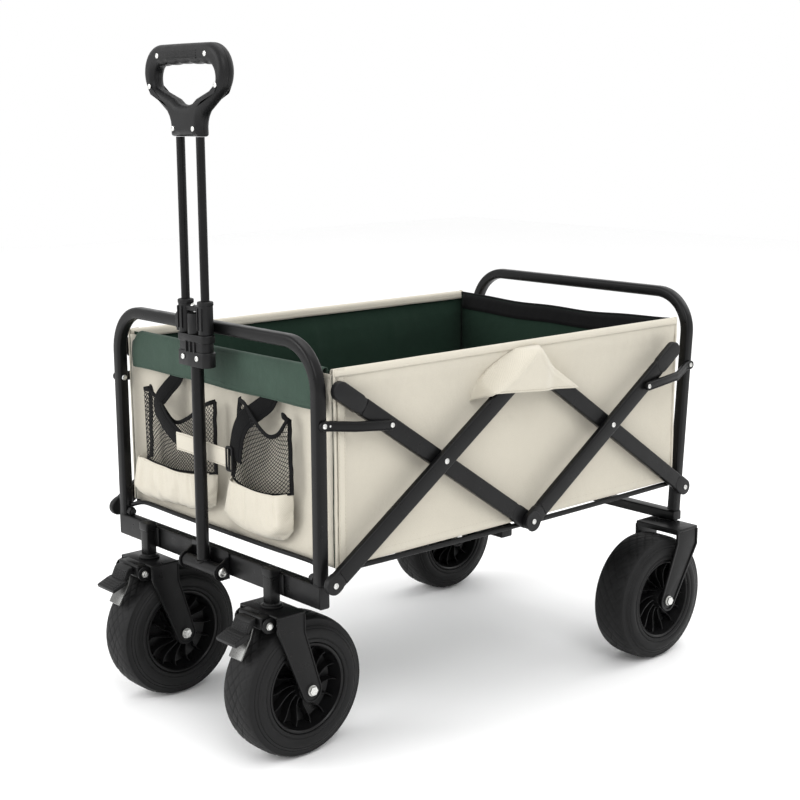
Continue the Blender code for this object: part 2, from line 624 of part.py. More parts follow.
def make_tub():
    """Plain solids for the walls, the mat, the folded-over flap, the pockets and the wire along the front."""
    front, back = MID_Y - TUB_Y, MID_Y + TUB_Y
    inner_x = TUB_X - WALL_T - CLOTH_GAP
    for side, sign in SIDES:
        low, high = sorted_span(sign, TUB_X - WALL_T, TUB_X)
        box(f"side_wall_{side}", (low, front, TUB_LOW), (high, back, TUB_TOP), CREAM)
    box("front_wall", (-inner_x, front, TUB_LOW), (inner_x, front + WALL_T, TUB_TOP), CREAM)
    box("rear_wall", (-inner_x, back - WALL_T, TUB_LOW), (inner_x, back, TUB_TOP), CREAM)
    low = (-inner_x, front + WALL_T + CLOTH_GAP, TUB_LOW)
    high = (inner_x, back - WALL_T - CLOTH_GAP, TUB_LOW + MAT_T)
    box("floor_mat", low, high, GREEN)
    outside = front - CLOTH_GAP
    low = (-FLAP["half_x"], outside - FLAP["thickness"], FLAP["low"])
    high = (FLAP["half_x"], outside, TUB_TOP + FLAP["above_tub"])
    box("front_flap", low, high, GREEN)
    for side, sign in SIDES:
        low, high = sorted_span(sign, POCKET["x0"], POCKET["x1"])
        near = (low, front - POCKET["depth"], POCKET["low"])
        far = (high, outside, POCKET["high"])
        box(f"mesh_pocket_{side}", near, far, MESH, bevel=0.0080)
    wire_y = front - WIRE["ahead"]
    ends = POST_X - TUBE_R - 0.0008
    half = [(ends - WIRE["bend"], wire_y, WIRE["z"]), (ends, wire_y - WIRE["hook"], WIRE["z"])]
    path = [(-x, y, z) for x, y, z in reversed(half)] + half
    tube("front_floor_wire", path, WIRE["r"], STEEL, 2)


make_frames()
make_crossbars()
make_scissors()
make_running_gear()
make_handle()
make_tub()
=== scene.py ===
"""Looks of the folding beach cart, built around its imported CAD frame.

Metres, +Z up, handle end towards -Y. Places come from the CAD nodes' boxes and from the sizes named below.
"""

import json
import math

import bmesh
import bpy
import numpy as np
from mathutils import Matrix, Vector, noise

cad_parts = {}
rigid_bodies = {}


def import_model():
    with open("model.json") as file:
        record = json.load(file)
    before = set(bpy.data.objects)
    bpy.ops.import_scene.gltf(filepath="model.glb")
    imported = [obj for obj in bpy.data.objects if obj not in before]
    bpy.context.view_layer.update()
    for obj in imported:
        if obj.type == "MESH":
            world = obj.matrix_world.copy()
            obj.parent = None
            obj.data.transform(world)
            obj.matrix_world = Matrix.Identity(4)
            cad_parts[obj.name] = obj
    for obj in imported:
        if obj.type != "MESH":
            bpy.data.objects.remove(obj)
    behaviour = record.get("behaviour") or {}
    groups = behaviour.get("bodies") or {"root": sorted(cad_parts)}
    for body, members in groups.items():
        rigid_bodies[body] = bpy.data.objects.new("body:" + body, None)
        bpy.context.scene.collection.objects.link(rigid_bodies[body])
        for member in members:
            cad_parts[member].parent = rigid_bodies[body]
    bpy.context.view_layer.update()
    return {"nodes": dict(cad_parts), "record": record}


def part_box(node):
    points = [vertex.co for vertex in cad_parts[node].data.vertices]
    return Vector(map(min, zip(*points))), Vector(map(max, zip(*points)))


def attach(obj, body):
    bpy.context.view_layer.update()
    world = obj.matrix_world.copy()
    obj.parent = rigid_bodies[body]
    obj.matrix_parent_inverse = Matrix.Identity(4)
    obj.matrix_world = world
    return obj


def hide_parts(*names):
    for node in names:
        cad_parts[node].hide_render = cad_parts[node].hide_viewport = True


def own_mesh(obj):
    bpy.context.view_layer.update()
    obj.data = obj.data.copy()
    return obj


for old in list(bpy.data.objects):
    bpy.data.objects.remove(old, do_unlink=True)

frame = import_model()
SIDES = (("left", -1), ("right", 1))
RIGHT, BACK, UP = (1, 0, 0), (0, 1, 0), (0, 0, 1)


def corner(node, which, axis):
    """One number of a CAD node's box: which is 0 for low and 1 for high, axis is 0, 1 or 2."""
    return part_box(node)[which][axis]


def middle(node):
    """Centre of a CAD node's box."""
    low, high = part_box(node)
    return (low + high) / 2


# ---- Materials ----


class Material:
    """A Principled material with helpers for procedural nodes, in object coordinates (metres)."""

    def __init__(self, name, rgb, roughness, metallic=0.0, specular=None):
        self.data = bpy.data.materials.new(name)
        self.data.use_nodes = True
        self.data.diffuse_color = (*rgb, 1.0)
        self.tree = self.data.node_tree
        self.shader = self.tree.nodes["Principled BSDF"]
        self.set("Base Color", (*rgb, 1.0))
        self.set("Roughness", roughness)
        self.set("Metallic", metallic)
        if specular is not None:
            self.set("Specular IOR Level", specular)
        self.coords = self.add("ShaderNodeTexCoord").outputs["Object"]

    def set(self, socket, value):
        """Set one of the shader's own sockets."""
        self.shader.inputs[socket].default_value = value

    def add(self, kind, inputs=(), **settings):
        """Add a node, with its settings, input values and links."""
        node = self.tree.nodes.new(kind)
        for name, value in settings.items():
            setattr(node, name, value)
        for name, value in dict(inputs).items():
            if isinstance(value, bpy.types.NodeSocket):
                self.tree.links.new(value, node.inputs[name])
            else:
                node.inputs[name].default_value = value
        return node

    def link(self, output, socket):
        """Feed one of the shader's sockets."""
        self.tree.links.new(output, self.shader.inputs[socket])

    def noise(self, scale, detail=3.0, roughness=0.5, vector=None):
        """Noise of this many cycles per metre, from 0 to 1."""
        node = self.add("ShaderNodeTexNoise", {"Vector": vector or self.coords, "Scale": scale,
                                               "Detail": detail, "Roughness": roughness})
        return node.outputs["Fac"]

    def remap(self, value, low, high, from_low=0.0, from_high=1.0):
        """A value moved from one range to another, clamped."""
        node = self.add("ShaderNodeMapRange", {"Value": value, "From Min": from_low, "From Max": from_high,
                                               "To Min": low, "To Max": high})
        return node.outputs["Result"]

    def math(self, operation, first, second=0.0):
        """One step of arithmetic."""
        return self.add("ShaderNodeMath", {0: first, 1: second}, operation=operation).outputs[0]

    def mix(self, factor, first, second):
        """A mix of two colours."""
        node = self.add("ShaderNodeMix", data_type="RGBA")
        for index, value in ((0, factor), (6, first), (7, second)):
            if isinstance(value, bpy.types.NodeSocket):
                self.tree.links.new(value, node.inputs[index])
            else:
                node.inputs[index].default_value = value
        return node.outputs[2]

    def bump(self, height, strength, distance, normal=None):
        """A bump of a height map, on top of another if one is given."""
        inputs = {"Height": height, "Strength": strength, "Distance": distance}
        if normal is not None:
            inputs["Normal"] = normal
        return self.add("ShaderNodeBump", inputs).outputs["Normal"]


def shade(rgb, factor):
    """A colour scaled in brightness, with alpha."""
    return (*[min(1.0, c * factor) for c in rgb], 1.0)


def painted_steel(name, rgb, roughness):
    """Powder coat: a fine orange-peel surface, slightly uneven gloss and a dusty bloom."""
    m = Material(name, rgb, roughness, specular=0.18)
    m.link(m.mix(m.remap(m.noise(22, 4), 0, 1, 0.35, 0.75), shade(rgb, 0.85), shade(rgb, 1.35)), "Base Color")
    m.link(m.remap(m.noise(60), roughness - 0.06, roughness + 0.08, 0.3, 0.7), "Roughness")
    m.link(m.bump(m.noise(1400, 2), 0.25, 0.0002), "Normal")
    return m.data


def moulded_plastic(name, rgb, roughness, grain=2600.0, depth=0.0002):
    """Moulded plastic with a fine spark-eroded grain."""
    m = Material(name, rgb, roughness, specular=0.22)
    m.link(m.mix(m.remap(m.noise(35), 0, 1, 0.3, 0.7), shade(rgb, 0.85), shade(rgb, 1.25)), "Base Color")
    m.link(m.remap(m.noise(90, 2), roughness - 0.05, roughness + 0.07, 0.3, 0.7), "Roughness")
    m.link(m.bump(m.noise(grain, 2), 0.3, depth), "Normal")
    return m.data


def rubber(name, rgb):
    """Tyre rubber: matt, with dusty patches and fine pores."""
    m = Material(name, rgb, 0.62, specular=0.2)
    dust = m.remap(m.noise(28, 5, 0.6), 0, 1, 0.42, 0.72)
    m.link(m.mix(dust, shade(rgb, 0.85), shade(rgb, 1.7)), "Base Color")
    m.link(m.remap(dust, 0.54, 0.74), "Roughness")
    m.link(m.bump(m.noise(900), 0.35, 0.0003), "Normal")
    return m.data


def zinc(name, rgb):
    """Bright zinc plate with fine brushing along X."""
    m = Material(name, rgb, 0.28, 1.0)
    stretched = m.add("ShaderNodeMapping", {"Vector": m.coords, "Scale": (3000, 250, 250)}).outputs["Vector"]
    brushed = m.noise(1, 2, vector=stretched)
    m.link(m.remap(brushed, 0.22, 0.4, 0.3, 0.7), "Roughness")
    m.link(m.mix(m.noise(80), shade(rgb, 0.85), shade(rgb, 1.1)), "Base Color")
    m.link(m.bump(brushed, 0.15, 0.0001), "Normal")
    return m.data


def woven(name, rgb, pitch, weave_shade=0.16, sheen=0.15, wash=0.1, specular=0.3):
    """Plain-weave cloth: threads of a given pitch along the two axes of the panel, with painted shade in the
    weave's troughs and painted light on its crests, and darker cloudy patches.
    """
    m = Material(name, rgb, 0.88, specular=specular)
    m.set("Sheen Weight", sheen)
    m.set("Sheen Roughness", 0.5)
    scale = m.add("ShaderNodeVectorMath", {0: m.coords, 1: (math.pi / pitch,) * 3}, operation="MULTIPLY")
    axes = m.add("ShaderNodeSeparateXYZ", {0: scale.outputs[0]})
    waves = [m.math("SINE", axes.outputs[i]) for i in range(3)]
    normal = m.add("ShaderNodeSeparateXYZ", {0: m.add("ShaderNodeNewGeometry").outputs["Normal"]})
    weights = [m.math("ABSOLUTE", normal.outputs[i]) for i in range(3)]
    pairs = [m.math("MULTIPLY", waves[(i + 1) % 3], waves[(i + 2) % 3]) for i in range(3)]
    parts = [m.math("MULTIPLY", pair, weight) for pair, weight in zip(pairs, weights)]
    weave = m.math("ADD", m.math("ADD", parts[0], parts[1]), parts[2])
    slub = m.math("MULTIPLY", m.noise(700, 2), 0.5)
    height = m.math("ADD", m.remap(weave, 0, 1, -1, 1), slub)
    # Painted shade and light of the weave: the colour darkens where the threads and slubs lie low and
    # lightens where they stand high.
    cloth = m.mix(m.remap(height, 0, 1, 0.2, 1.2), shade(rgb, 1 - weave_shade), shade(rgb, 1 + weave_shade * 0.5))
    cloud = m.remap(m.noise(16, 5, 0.6), 0, 1, 0.38, 0.68)
    m.link(m.mix(m.math("MULTIPLY", cloud, wash), cloth, shade(rgb, 0.72)), "Base Color")
    crease = m.bump(m.noise(34, 4, 0.55), 0.45, 0.0036)
    m.link(m.bump(height, 0.55, pitch * 0.35, crease), "Normal")
    return m.data


OXFORD_PITCH = 0.0011

STEEL = painted_steel("black_powder_coat", (0.0034, 0.0034, 0.0036), 0.32)
PLASTIC = moulded_plastic("black_moulded_plastic", (0.0045, 0.0045, 0.0048), 0.42)
HUB_PLASTIC = moulded_plastic("hub_moulded_plastic", (0.004, 0.004, 0.0042), 0.32, 1800.0, 0.0001)
TYRE = rubber("tyre_rubber", (0.006, 0.006, 0.0062))
ZINC = zinc("bright_zinc", (0.66, 0.66, 0.64))
PLATE_ZINC = zinc("brushed_zinc_plate", (0.16, 0.16, 0.155))
CREAM = woven("cream_oxford", (0.535, 0.5, 0.42), OXFORD_PITCH)
# The green below and the flap's green that follows are one cloth in two colours: the flap outside the tub is
# painted about two and a half times lighter as lit, and the lining and floor green is painted darker as
# shaded inside the tub.
GREEN = woven("green_oxford", (0.0105, 0.025, 0.0165), OXFORD_PITCH, 0.35, 0.02, 0.3, 0.1)
LIT_FLAP_GREEN = woven("lit_flap_green_oxford", (0.034, 0.064, 0.046), OXFORD_PITCH, 0.4, 0.06, 0.95)
WEBBING = woven("black_webbing", (0.004, 0.004, 0.0043), 0.002, 0.5, 0.02, 0.2, 0.12)
NET = moulded_plastic("black_net", (0.006, 0.006, 0.0065), 0.6)
THREAD = woven("cream_thread", (0.47, 0.435, 0.36), 0.0006, 0.25)

# The materials of each record slot; the first dresses the CAD nodes that stay.
SLOT_MATERIALS = {
    "black_steel": (STEEL,), "black_plastic": (PLASTIC,), "hub_plastic": (HUB_PLASTIC,), "tyre": (TYRE,),
    "zinc": (ZINC, PLATE_ZINC), "cream_fabric": (CREAM, THREAD), "green_fabric": (GREEN, LIT_FLAP_GREEN),
    "black_mesh": (NET, WEBBING),
}
SLOT_OF = {material.name: slot for slot, materials in SLOT_MATERIALS.items() for material in materials}


def dress_cad_nodes():
    """Give every CAD node the procedural material of its record slot."""
    for row in frame["record"]["subparts"]:
        node = frame["nodes"][row["node"]]
        node.data.materials.clear()
        node.data.materials.append(SLOT_MATERIALS[row["material_slot"]][0])


# ---- Shapes ----

STITCH_R = 0.00045


class Shape:
    """Verts and faces that gather into one mesh. All but piece return the shape, so that they chain."""

    def __init__(self):
        self.verts, self.faces = [], []

    def add(self, verts, faces, matrix=None):
        """Add a part, moved by a matrix if one is given."""
        base = len(self.verts)
        self.verts += [matrix @ Vector(v) if matrix else Vector(v) for v in verts]
        self.faces += [[base + i for i in face] for face in faces]
        return self

    def sweep(self, path, section, up=UP, closed=False):
        """Add a section carried along a path."""
        return self.add(*swept(path, section, up, closed))

    def wire(self, path, radius, up=UP, sides=8, closed=False):
        """Add a round section carried along a path."""
        return self.sweep(path, circle((0, 0), radius, sides), up, closed)

    def band(self, path, width, thickness):
        """Add a flat strap that faces along Y."""
        return self.sweep(path, rounded_rect(width / 2, thickness / 2, thickness * 0.45, 2), BACK)

    def turn(self, profile, steps, ring=False, at=None):
        """Add a profile of (radius, x) turned about the X axis, then moved by a matrix."""
        return self.add(*turned(profile, steps, ring), at)

    def plate(self, *details, at=None, **bevel):
        """Add a flat outline with holes and rounded edges."""
        return self.add(*mesh_parts(plate_mesh("plate", *details, **bevel)), at)

    def block(self, low, high, bevel=0.0008, segments=2):
        """Add a box between two corners, with its edges rounded."""
        return self.add(*block(low, high, bevel, segments))

    def sew(self, path, length=0.0036, gap=0.0018, up=UP):
        """Add a line of raised thread stitches along a path."""
        points = [Vector(p) for p in path]
        gone, target, inside, start = 0.0, 0.0, True, points[0]
        for a, b in zip(points, points[1:]):
            span, done = (b - a).length, 0.0
            while gone + span - done > target + (length if inside else gap):
                target += length if inside else gap
                done = target - gone
                here = a.lerp(b, done / span)
                if inside:
                    self.wire([start, here], STITCH_R, up, 6)
                start, inside = here, not inside
            gone += span
        return self

    def piece(self, name, material, body, replaces=(), angle=35):
        """Make the piece, which rides on a body."""
        mesh = bpy.data.meshes.new(name)
        work = bmesh.new()
        points = [work.verts.new(v) for v in self.verts]
        for face in self.faces:
            try:
                work.faces.new([points[i] for i in face])
            except ValueError:
                continue
        bmesh.ops.remove_doubles(work, verts=work.verts, dist=2e-6)
        bmesh.ops.dissolve_degenerate(work, dist=1e-7, edges=work.edges)
        bmesh.ops.recalc_face_normals(work, faces=work.faces)
        work.to_mesh(mesh)
        work.free()
        return settle_piece(name, mesh, material, body, replaces, angle)


def settle_piece(name, mesh, material, body, replaces=(), angle=35):
    """Link a mesh as a piece with its material, body and the CAD nodes that it replaces."""
    piece = bpy.data.objects.new(name, mesh)
    bpy.context.scene.collection.objects.link(piece)
    mesh.materials.clear()
    mesh.materials.append(material)
    mesh.shade_smooth()
    mesh.set_sharp_from_angle(angle=math.radians(angle))
    if body:
        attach(piece, body)
    if replaces:
        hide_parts(*replaces)
    return piece


def arc(centre, radius, start_deg, end_deg, count):
    """Points of an arc in a plane."""
    steps = [math.radians(start_deg + (end_deg - start_deg) * i / count) for i in range(count + 1)]
    return [(centre[0] + radius * math.cos(a), centre[1] + radius * math.sin(a)) for a in steps]


def circle(centre, radius, count=24):
    """Points of a circle in a plane."""
    return arc(centre, radius, 0, 360, count)[:-1]


def rounded_rect(half_w, half_h, radius, count=4):
    """A rectangle with round corners, about its centre."""
    points = []
    for sx, sy, start in ((1, 1, 0), (-1, 1, 90), (-1, -1, 180), (1, -1, 270)):
        points += arc((sx * (half_w - radius), sy * (half_h - radius)), radius, start, start + 90, count)
    return points


def skin(rows, sides, closed_rows=False, closed_sides=False, flip=1):
    """Faces between rows of points that all have the same number of points."""
    faces = []
    for i in range(rows if closed_rows else rows - 1):
        row, following = i * sides, ((i + 1) % rows) * sides
        for j in range(sides if closed_sides else sides - 1):
            k = (j + 1) % sides
            faces.append((row + j, row + k, following + k, following + j)[::flip])
    return faces


def swept(path, section, up, closed=False):
    """Verts and faces of a closed section carried along a path, without twisting about up."""
    count, sides = len(path), len(section)
    points = [Vector(p) for p in path]
    verts = []
    for i, point in enumerate(points):
        ahead = points[(i + 1) % count] if closed or i < count - 1 else point
        behind = points[i - 1] if closed or i else point
        heading = (ahead - behind).normalized()
        across = Vector(up).cross(heading).normalized()
        lift = heading.cross(across)
        verts += [point + across * a + lift * b for a, b in section]
    faces = skin(count, sides, closed, True)
    if not closed:
        faces += [tuple(range(sides)), tuple(range((count - 1) * sides, count * sides))]
    return verts, faces


def turned(profile, steps, ring=False):
    """Verts and faces turned about the X axis: a profile of (radius, x), closed into a ring if asked."""
    verts = []
    for i in range(steps):
        angle = 2 * math.pi * i / steps
        verts += [(x, radius * math.cos(angle), radius * math.sin(angle)) for radius, x in profile]
    return verts, skin(steps, len(profile), True, ring)


PLANES = {
    "YZ": Matrix(((0, 0, 1), (1, 0, 0), (0, 1, 0))).to_4x4(),
    "XZ": Matrix(((1, 0, 0), (0, 0, -1), (0, 1, 0))).to_4x4(),
    "XY": Matrix.Identity(4),
}


def plate_mesh(name, plane, outlines, low, high, bevel=0.0008, segments=2):
    """A flat outline with holes and rounded edges, from low to high along the plane's normal axis."""
    data = bpy.data.curves.new(name, "CURVE")
    data.dimensions = "2D"
    data.fill_mode = "BOTH"
    data.extrude = (high - low) / 2 - bevel
    data.bevel_depth = bevel
    data.bevel_resolution = segments
    data.offset = -bevel
    for outline in outlines:
        spline = data.splines.new("POLY")
        spline.points.add(len(outline) - 1)
        spline.use_cyclic_u = True
        for point, (u, v) in zip(spline.points, outline):
            point.co = (u, v, 0.0, 1.0)
    holder = bpy.data.objects.new(name + "_curve", data)
    bpy.context.scene.collection.objects.link(holder)
    centre = (low + high) / 2
    normal = {"YZ": (centre, 0, 0), "XZ": (0, centre, 0), "XY": (0, 0, centre)}[plane]
    bpy.context.view_layer.update()
    mesh = bpy.data.meshes.new_from_object(holder.evaluated_get(bpy.context.evaluated_depsgraph_get()))
    bpy.data.objects.remove(holder, do_unlink=True)
    mesh.transform(Matrix.Translation(normal) @ PLANES[plane])
    work = bmesh.new()
    work.from_mesh(mesh)
    bmesh.ops.remove_doubles(work, verts=work.verts, dist=1e-5)
    bmesh.ops.recalc_face_normals(work, faces=work.faces)
    work.to_mesh(mesh)
    work.free()
    return mesh


def mesh_parts(mesh):
    """Verts and faces of a mesh, to gather into a Shape."""
    found = [v.co.copy() for v in mesh.vertices], [tuple(p.vertices) for p in mesh.polygons]
    bpy.data.meshes.remove(mesh)
    return found


def block(low, high, bevel, segments):
    """Verts and faces of a box between two corners, with its edges rounded."""
    work = bmesh.new()
    bmesh.ops.create_cube(work, size=1.0)
    bmesh.ops.scale(work, vec=[b - a for a, b in zip(low, high)], verts=work.verts)
    bmesh.ops.translate(work, vec=[(a + b) / 2 for a, b in zip(low, high)], verts=work.verts)
    bmesh.ops.bevel(work, geom=work.edges[:], offset=bevel, segments=segments, affect="EDGES", profile=0.5)
    work.verts.index_update()
    found = [v.co.copy() for v in work.verts], [tuple(v.index for v in f.verts) for f in work.faces]
    work.free()
    return found


def facing(centre, direction):
    """The matrix that moves a turned part from the origin, pointing along +X, to a place and direction."""
    return Matrix.Translation(centre) @ Vector(direction).to_track_quat("X", "Z").to_matrix().to_4x4()


def rivet(shape, centre, direction, radius=0.0037, height=0.0016):
    """Add a domed screw or rivet head with a round recess to a shape."""
    dome = [(radius * math.cos(t), height * (0.3 + 0.7 * math.sin(t))) for t in
            [math.radians(a) for a in (15, 30, 45, 58)]]
    recess = [(radius * 0.42, height * 0.97), (radius * 0.42 * 0.85, height * 0.55), (0.0, height * 0.5)]
    shape.turn([(radius, 0.0), (radius, height * 0.3)] + dome + recess, 20, at=facing(centre, direction))


def hex_bolt(shape, centre, direction, radius, height):
    """Add a hexagon head with a chamfered top, a washer and the tip of the bolt."""
    place = facing(centre, direction)
    shape.turn([(radius * 1.12, 0.0), (radius * 1.12, 0.0009), (radius * 0.6, 0.0009)], 28, at=place)
    shape.plate("YZ", [circle((0, 0), radius, 6)], 0.0007, height, bevel=0.0006, at=place)
    tip = height + 0.0003
    shape.turn([(radius * 0.52, height - 0.0002), (radius * 0.5, tip), (0.0, tip)], 20, at=place)


def pin(radius, half):
    """Profile of a plain pin about the X axis, as long each way."""
    return [(0.0, -half), (radius, -half), (radius, half), (0.0, half)]


def sorted_span(sign, inner, outer):
    """Low and high x of a layer on one side."""
    return (inner, outer) if sign > 0 else (-outer, -inner)


# ---- Frame ----

MID_Y = 0.0315
BAY = 0.37
POST_X = 0.238
TUBE_R = 0.0085
TOP_Z = 0.58
CORNER_R = 0.062
REAR_LEAN = 0.066
PIVOT_Z = 0.2696
PLUG_T = 0.0026
FRONT_LINK_Z = 0.477
REAR_LINK_Z = 0.468


def rear_post_y(z):
    """Centre of a rear post at a height."""
    return MID_Y + BAY + REAR_LEAN * (z - PIVOT_Z)


def make_hoops():
    """Front and rear hoops of rounded square tube, with the rivets of the links and bars that they carry."""
    for end, post_y, gap, link_z in (("front", lambda z: MID_Y - BAY, 0.0003, FRONT_LINK_Z),
                                     ("rear", rear_post_y, 0.001, REAR_LINK_Z)):
        name, body, low = f"{end}_frame_hoop", f"{end}_frame", corner(f"{end}_crossbar", 1, 2) + gap
        outline = [(-POST_X, low), (-POST_X, 0.4)]
        outline += arc((-POST_X + CORNER_R, TOP_Z - CORNER_R), CORNER_R, 180, 90, 20)
        outline += arc((POST_X - CORNER_R, TOP_Z - CORNER_R), CORNER_R, 90, 0, 20)
        outline += [(POST_X, 0.4), (POST_X, low)]
        path = [(x, post_y(z), z) for x, z in outline]
        tube = Shape().sweep(path, rounded_rect(TUBE_R, TUBE_R, 0.0045), BACK)
        tube.piece(name + "_tube", STEEL, body, [name])
        caps = Shape()
        for sign in (-1, 1):
            for z in (link_z, PIVOT_Z):
                rivet(caps, (sign * (POST_X - TUBE_R), post_y(z), z), (-sign, 0, 0), 0.0042, 0.0018)
        caps.piece(name + "_rivets", ZINC, body)


def weld(shape, centre, radius, bead, dip=0.0):
    """Add a bead of weld round an upright tube, lower by dip in front and behind."""
    x, y, z = centre
    turns = [math.radians(10 * i) for i in range(36)]
    ring = [(x + radius * math.cos(a), y + radius * math.sin(a), z - dip * math.sin(a) ** 2) for a in turns]
    shape.wire(ring, bead, closed=True)


def make_crossbars():
    """Rectangular crossbars with rounded edges, rimmed end plugs and welds, and the casters' stems."""
    for name, body in (("front_crossbar", "front_frame"), ("rear_crossbar", "rear_frame"),
                       ("centre_crossbar", "rear_rising_bars")):
        low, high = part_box(name)
        centre, half = (low + high) / 2, (high - low) / 2
        path = [(x, centre.y, centre.z) for x in (low.x + 0.002, high.x - 0.002)]
        section = [(b, a) for a, b in rounded_rect(half.z, half.y, 0.0024)]
        Shape().sweep(path, section).piece(name + "_tube", STEEL, body, [name])
        plugs = Shape()
        edge = rounded_rect(half.y - 0.0004, half.z - 0.0004, 0.0026)
        rim = [(y + centre.y, z + centre.z) for y, z in edge]
        for x0, x1 in ((low.x, low.x + PLUG_T), (high.x - PLUG_T, high.x)):
            plugs.plate("YZ", [rim], x0, x1, bevel=0.0008)
        plugs.piece(name + "_plugs", PLASTIC, body)
    welds = Shape()
    for sign in (-1, 1):
        weld(welds, (sign * POST_X, MID_Y - BAY, 0.2645), 0.0086, 0.0011)
    welds.piece("front_post_welds", STEEL, "front_frame")
    for side, _ in SIDES:
        name = f"caster_stem_{side}"
        low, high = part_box(name)
        x, y, top = (low.x + high.x) / 2, (low.y + high.y) / 2, high.z
        stem = Shape()
        foot = corner(f"fork_front_{side}", 1, 2) + 0.003
        stem.block((x - 0.009, y - 0.008, foot), (x + 0.009, y + 0.008, top - 0.006), 0.0016, 3)
        stem.block((x - 0.0105, y - 0.0094, top - 0.0125), (x + 0.0105, y + 0.009, top), 0.0022, 3)
        stem.block((x - 0.019, y + 0.005, 0.2345), (x + 0.019, y + 0.0081, 0.263), 0.001)
        race = [(0.0, 0.0), (0.015, 0.0), (0.0154, 0.001), (0.015, 0.003), (0.0135, 0.004), (0.0118, 0.0046),
                (0.0112, 0.0068), (0.0, 0.0068)]
        stem.turn(race, 40, at=facing((x, y, low.z), UP))
        stem.piece(name + "_tube", STEEL, "front_frame", [name])


# ---- Scissor bars ----

ANGLE = math.radians(34.2)
COS, SIN = math.cos(ANGLE), math.sin(ANGLE)
INNER_X, OUTER_X, BAR_T, BAR_H = 0.2475, 0.259, 0.0105, 0.025
INNER_ARM_Y, OUTER_ARM_Y = 0.1735, 0.1965
FRONT_FREE_ARM, REAR_FREE_ARM = 0.208, 0.174
LINK_H, LINK_T, LINK_POST_X = 0.0135, 0.005, 0.247
CROSS_Z = PIVOT_Z + OUTER_ARM_Y * math.tan(ANGLE)
FRONT_PIVOT, REAR_PIVOT = (MID_Y - BAY, PIVOT_Z), (MID_Y + BAY, PIVOT_Z)
FRONT_CROSS, REAR_CROSS = (MID_Y - INNER_ARM_Y, CROSS_Z), (MID_Y + INNER_ARM_Y, CROSS_Z)
TOP_CENTRE = (MID_Y, CROSS_Z + INNER_ARM_Y * math.tan(ANGLE))
LOW_CENTRE = (MID_Y, CROSS_Z - INNER_ARM_Y * math.tan(ANGLE))
FRONT_FREE = (FRONT_CROSS[0] - FRONT_FREE_ARM * COS, FRONT_CROSS[1] + FRONT_FREE_ARM * SIN)
REAR_FREE = (REAR_CROSS[0] + REAR_FREE_ARM * COS, REAR_CROSS[1] + REAR_FREE_ARM * SIN)


def strip(start, end, height):
    """A flat bar with round ends in the YZ plane."""
    angle = math.degrees(math.atan2(end[1] - start[1], end[0] - start[0]))
    far = arc(end, height / 2, angle - 90, angle + 90, 14)
    near = arc(start, height / 2, angle + 90, angle + 270, 14)
    return far + near


def along(start, end, distance):
    """The point at a distance from start towards end."""
    share = distance / math.dist(start, end)
    return tuple(a + (b - a) * share for a, b in zip(start, end))


def tube_bar(start, end, span, trim_start, trim_end):
    """A rectangular tube between two pivots, trimmed where its end fittings begin."""
    near, far = along(start, end, trim_start), along(end, start, trim_end)
    middle_x = sum(span) / 2
    section = rounded_rect((span[1] - span[0]) / 2, BAR_H / 2, 0.003)
    return Shape().sweep([(middle_x, *near), (middle_x, *far)], section)


def add_fitting(shape, start, end, span, length):
    """Add a plastic end fitting round a pivot: a rounded lug that steps down onto the tube."""
    height, inset = BAR_H + 0.001, 0.0008
    far, neck = along(start, end, length), along(start, end, length + 0.012)
    shape.plate("YZ", [strip(start, far, height)], *span, bevel=0.0022, segments=3)
    shape.plate("YZ", [strip(far, neck, height - 0.0022)], span[0] + inset, span[1] - inset, bevel=0.0016)


def make_scissors():
    """Bars of rectangular tube with plastic end fittings, links of folded strip, and bright rivets."""
    for side, sign in SIDES:
        inner = sorted_span(sign, INNER_X, INNER_X + BAR_T)
        outer = sorted_span(sign, OUTER_X, OUTER_X + BAR_T)
        face = sign * (OUTER_X + BAR_T)
        for bar, start, end, span, ends, rivets in (
            ("front_rising_bar", FRONT_PIVOT, TOP_CENTRE, outer, (0.02, 0.03), (FRONT_PIVOT, FRONT_CROSS)),
            ("front_falling_bar", FRONT_FREE, LOW_CENTRE, inner, (0.05, 0.038), ()),
            ("rear_rising_bar", LOW_CENTRE, REAR_FREE, outer, (0.03, 0.05), (LOW_CENTRE, REAR_CROSS)),
            ("rear_falling_bar", TOP_CENTRE, REAR_PIVOT, inner, (0.03, 0.03), (REAR_PIVOT,)),
        ):
            name, body = f"{bar}_{side}", bar + "s"
            tube = tube_bar(start, end, span, ends[0] - 0.004, ends[1] - 0.004)
            tube.piece(name + "_tube", STEEL, body, [name])
            lugs = Shape()
            add_fitting(lugs, start, end, span, ends[0] - 0.016)
            add_fitting(lugs, end, start, span, ends[1] - 0.016)
            if bar == "rear_rising_bar":
                disc = [(0.0, 0.0), (0.0142, 0.0), (0.015, 0.0008), (0.0142, 0.0018), (0.0, 0.0018)]
                lugs.turn(disc, 36, at=facing((face - sign * 0.0006, *LOW_CENTRE), (sign, 0, 0)))
            lugs.piece(name + "_fittings", PLASTIC, body)
            heads = Shape()
            for place in rivets:
                tip = face if span is outer else sign * (INNER_X + BAR_T)
                proud = sign * 0.0012 if place is LOW_CENTRE else 0.0
                rivet(heads, (tip + proud, *place), (sign, 0, 0), 0.004, 0.0018)
            if rivets:
                heads.piece(name + "_rivets", ZINC, body)
        make_links(side, sign)


def link_end(post, reach, cross, way):
    """Where a link of this reach, from its post, meets the free bar that rises from a crossing."""
    lowest, highest = 0.0, REAR_FREE_ARM
    for _ in range(40):
        middle = (lowest + highest) / 2
        point = (cross[0] + way * middle * COS, cross[1] + middle * SIN)
        if math.dist(post, point) > reach:
            lowest = middle
        else:
            highest = middle
    return point


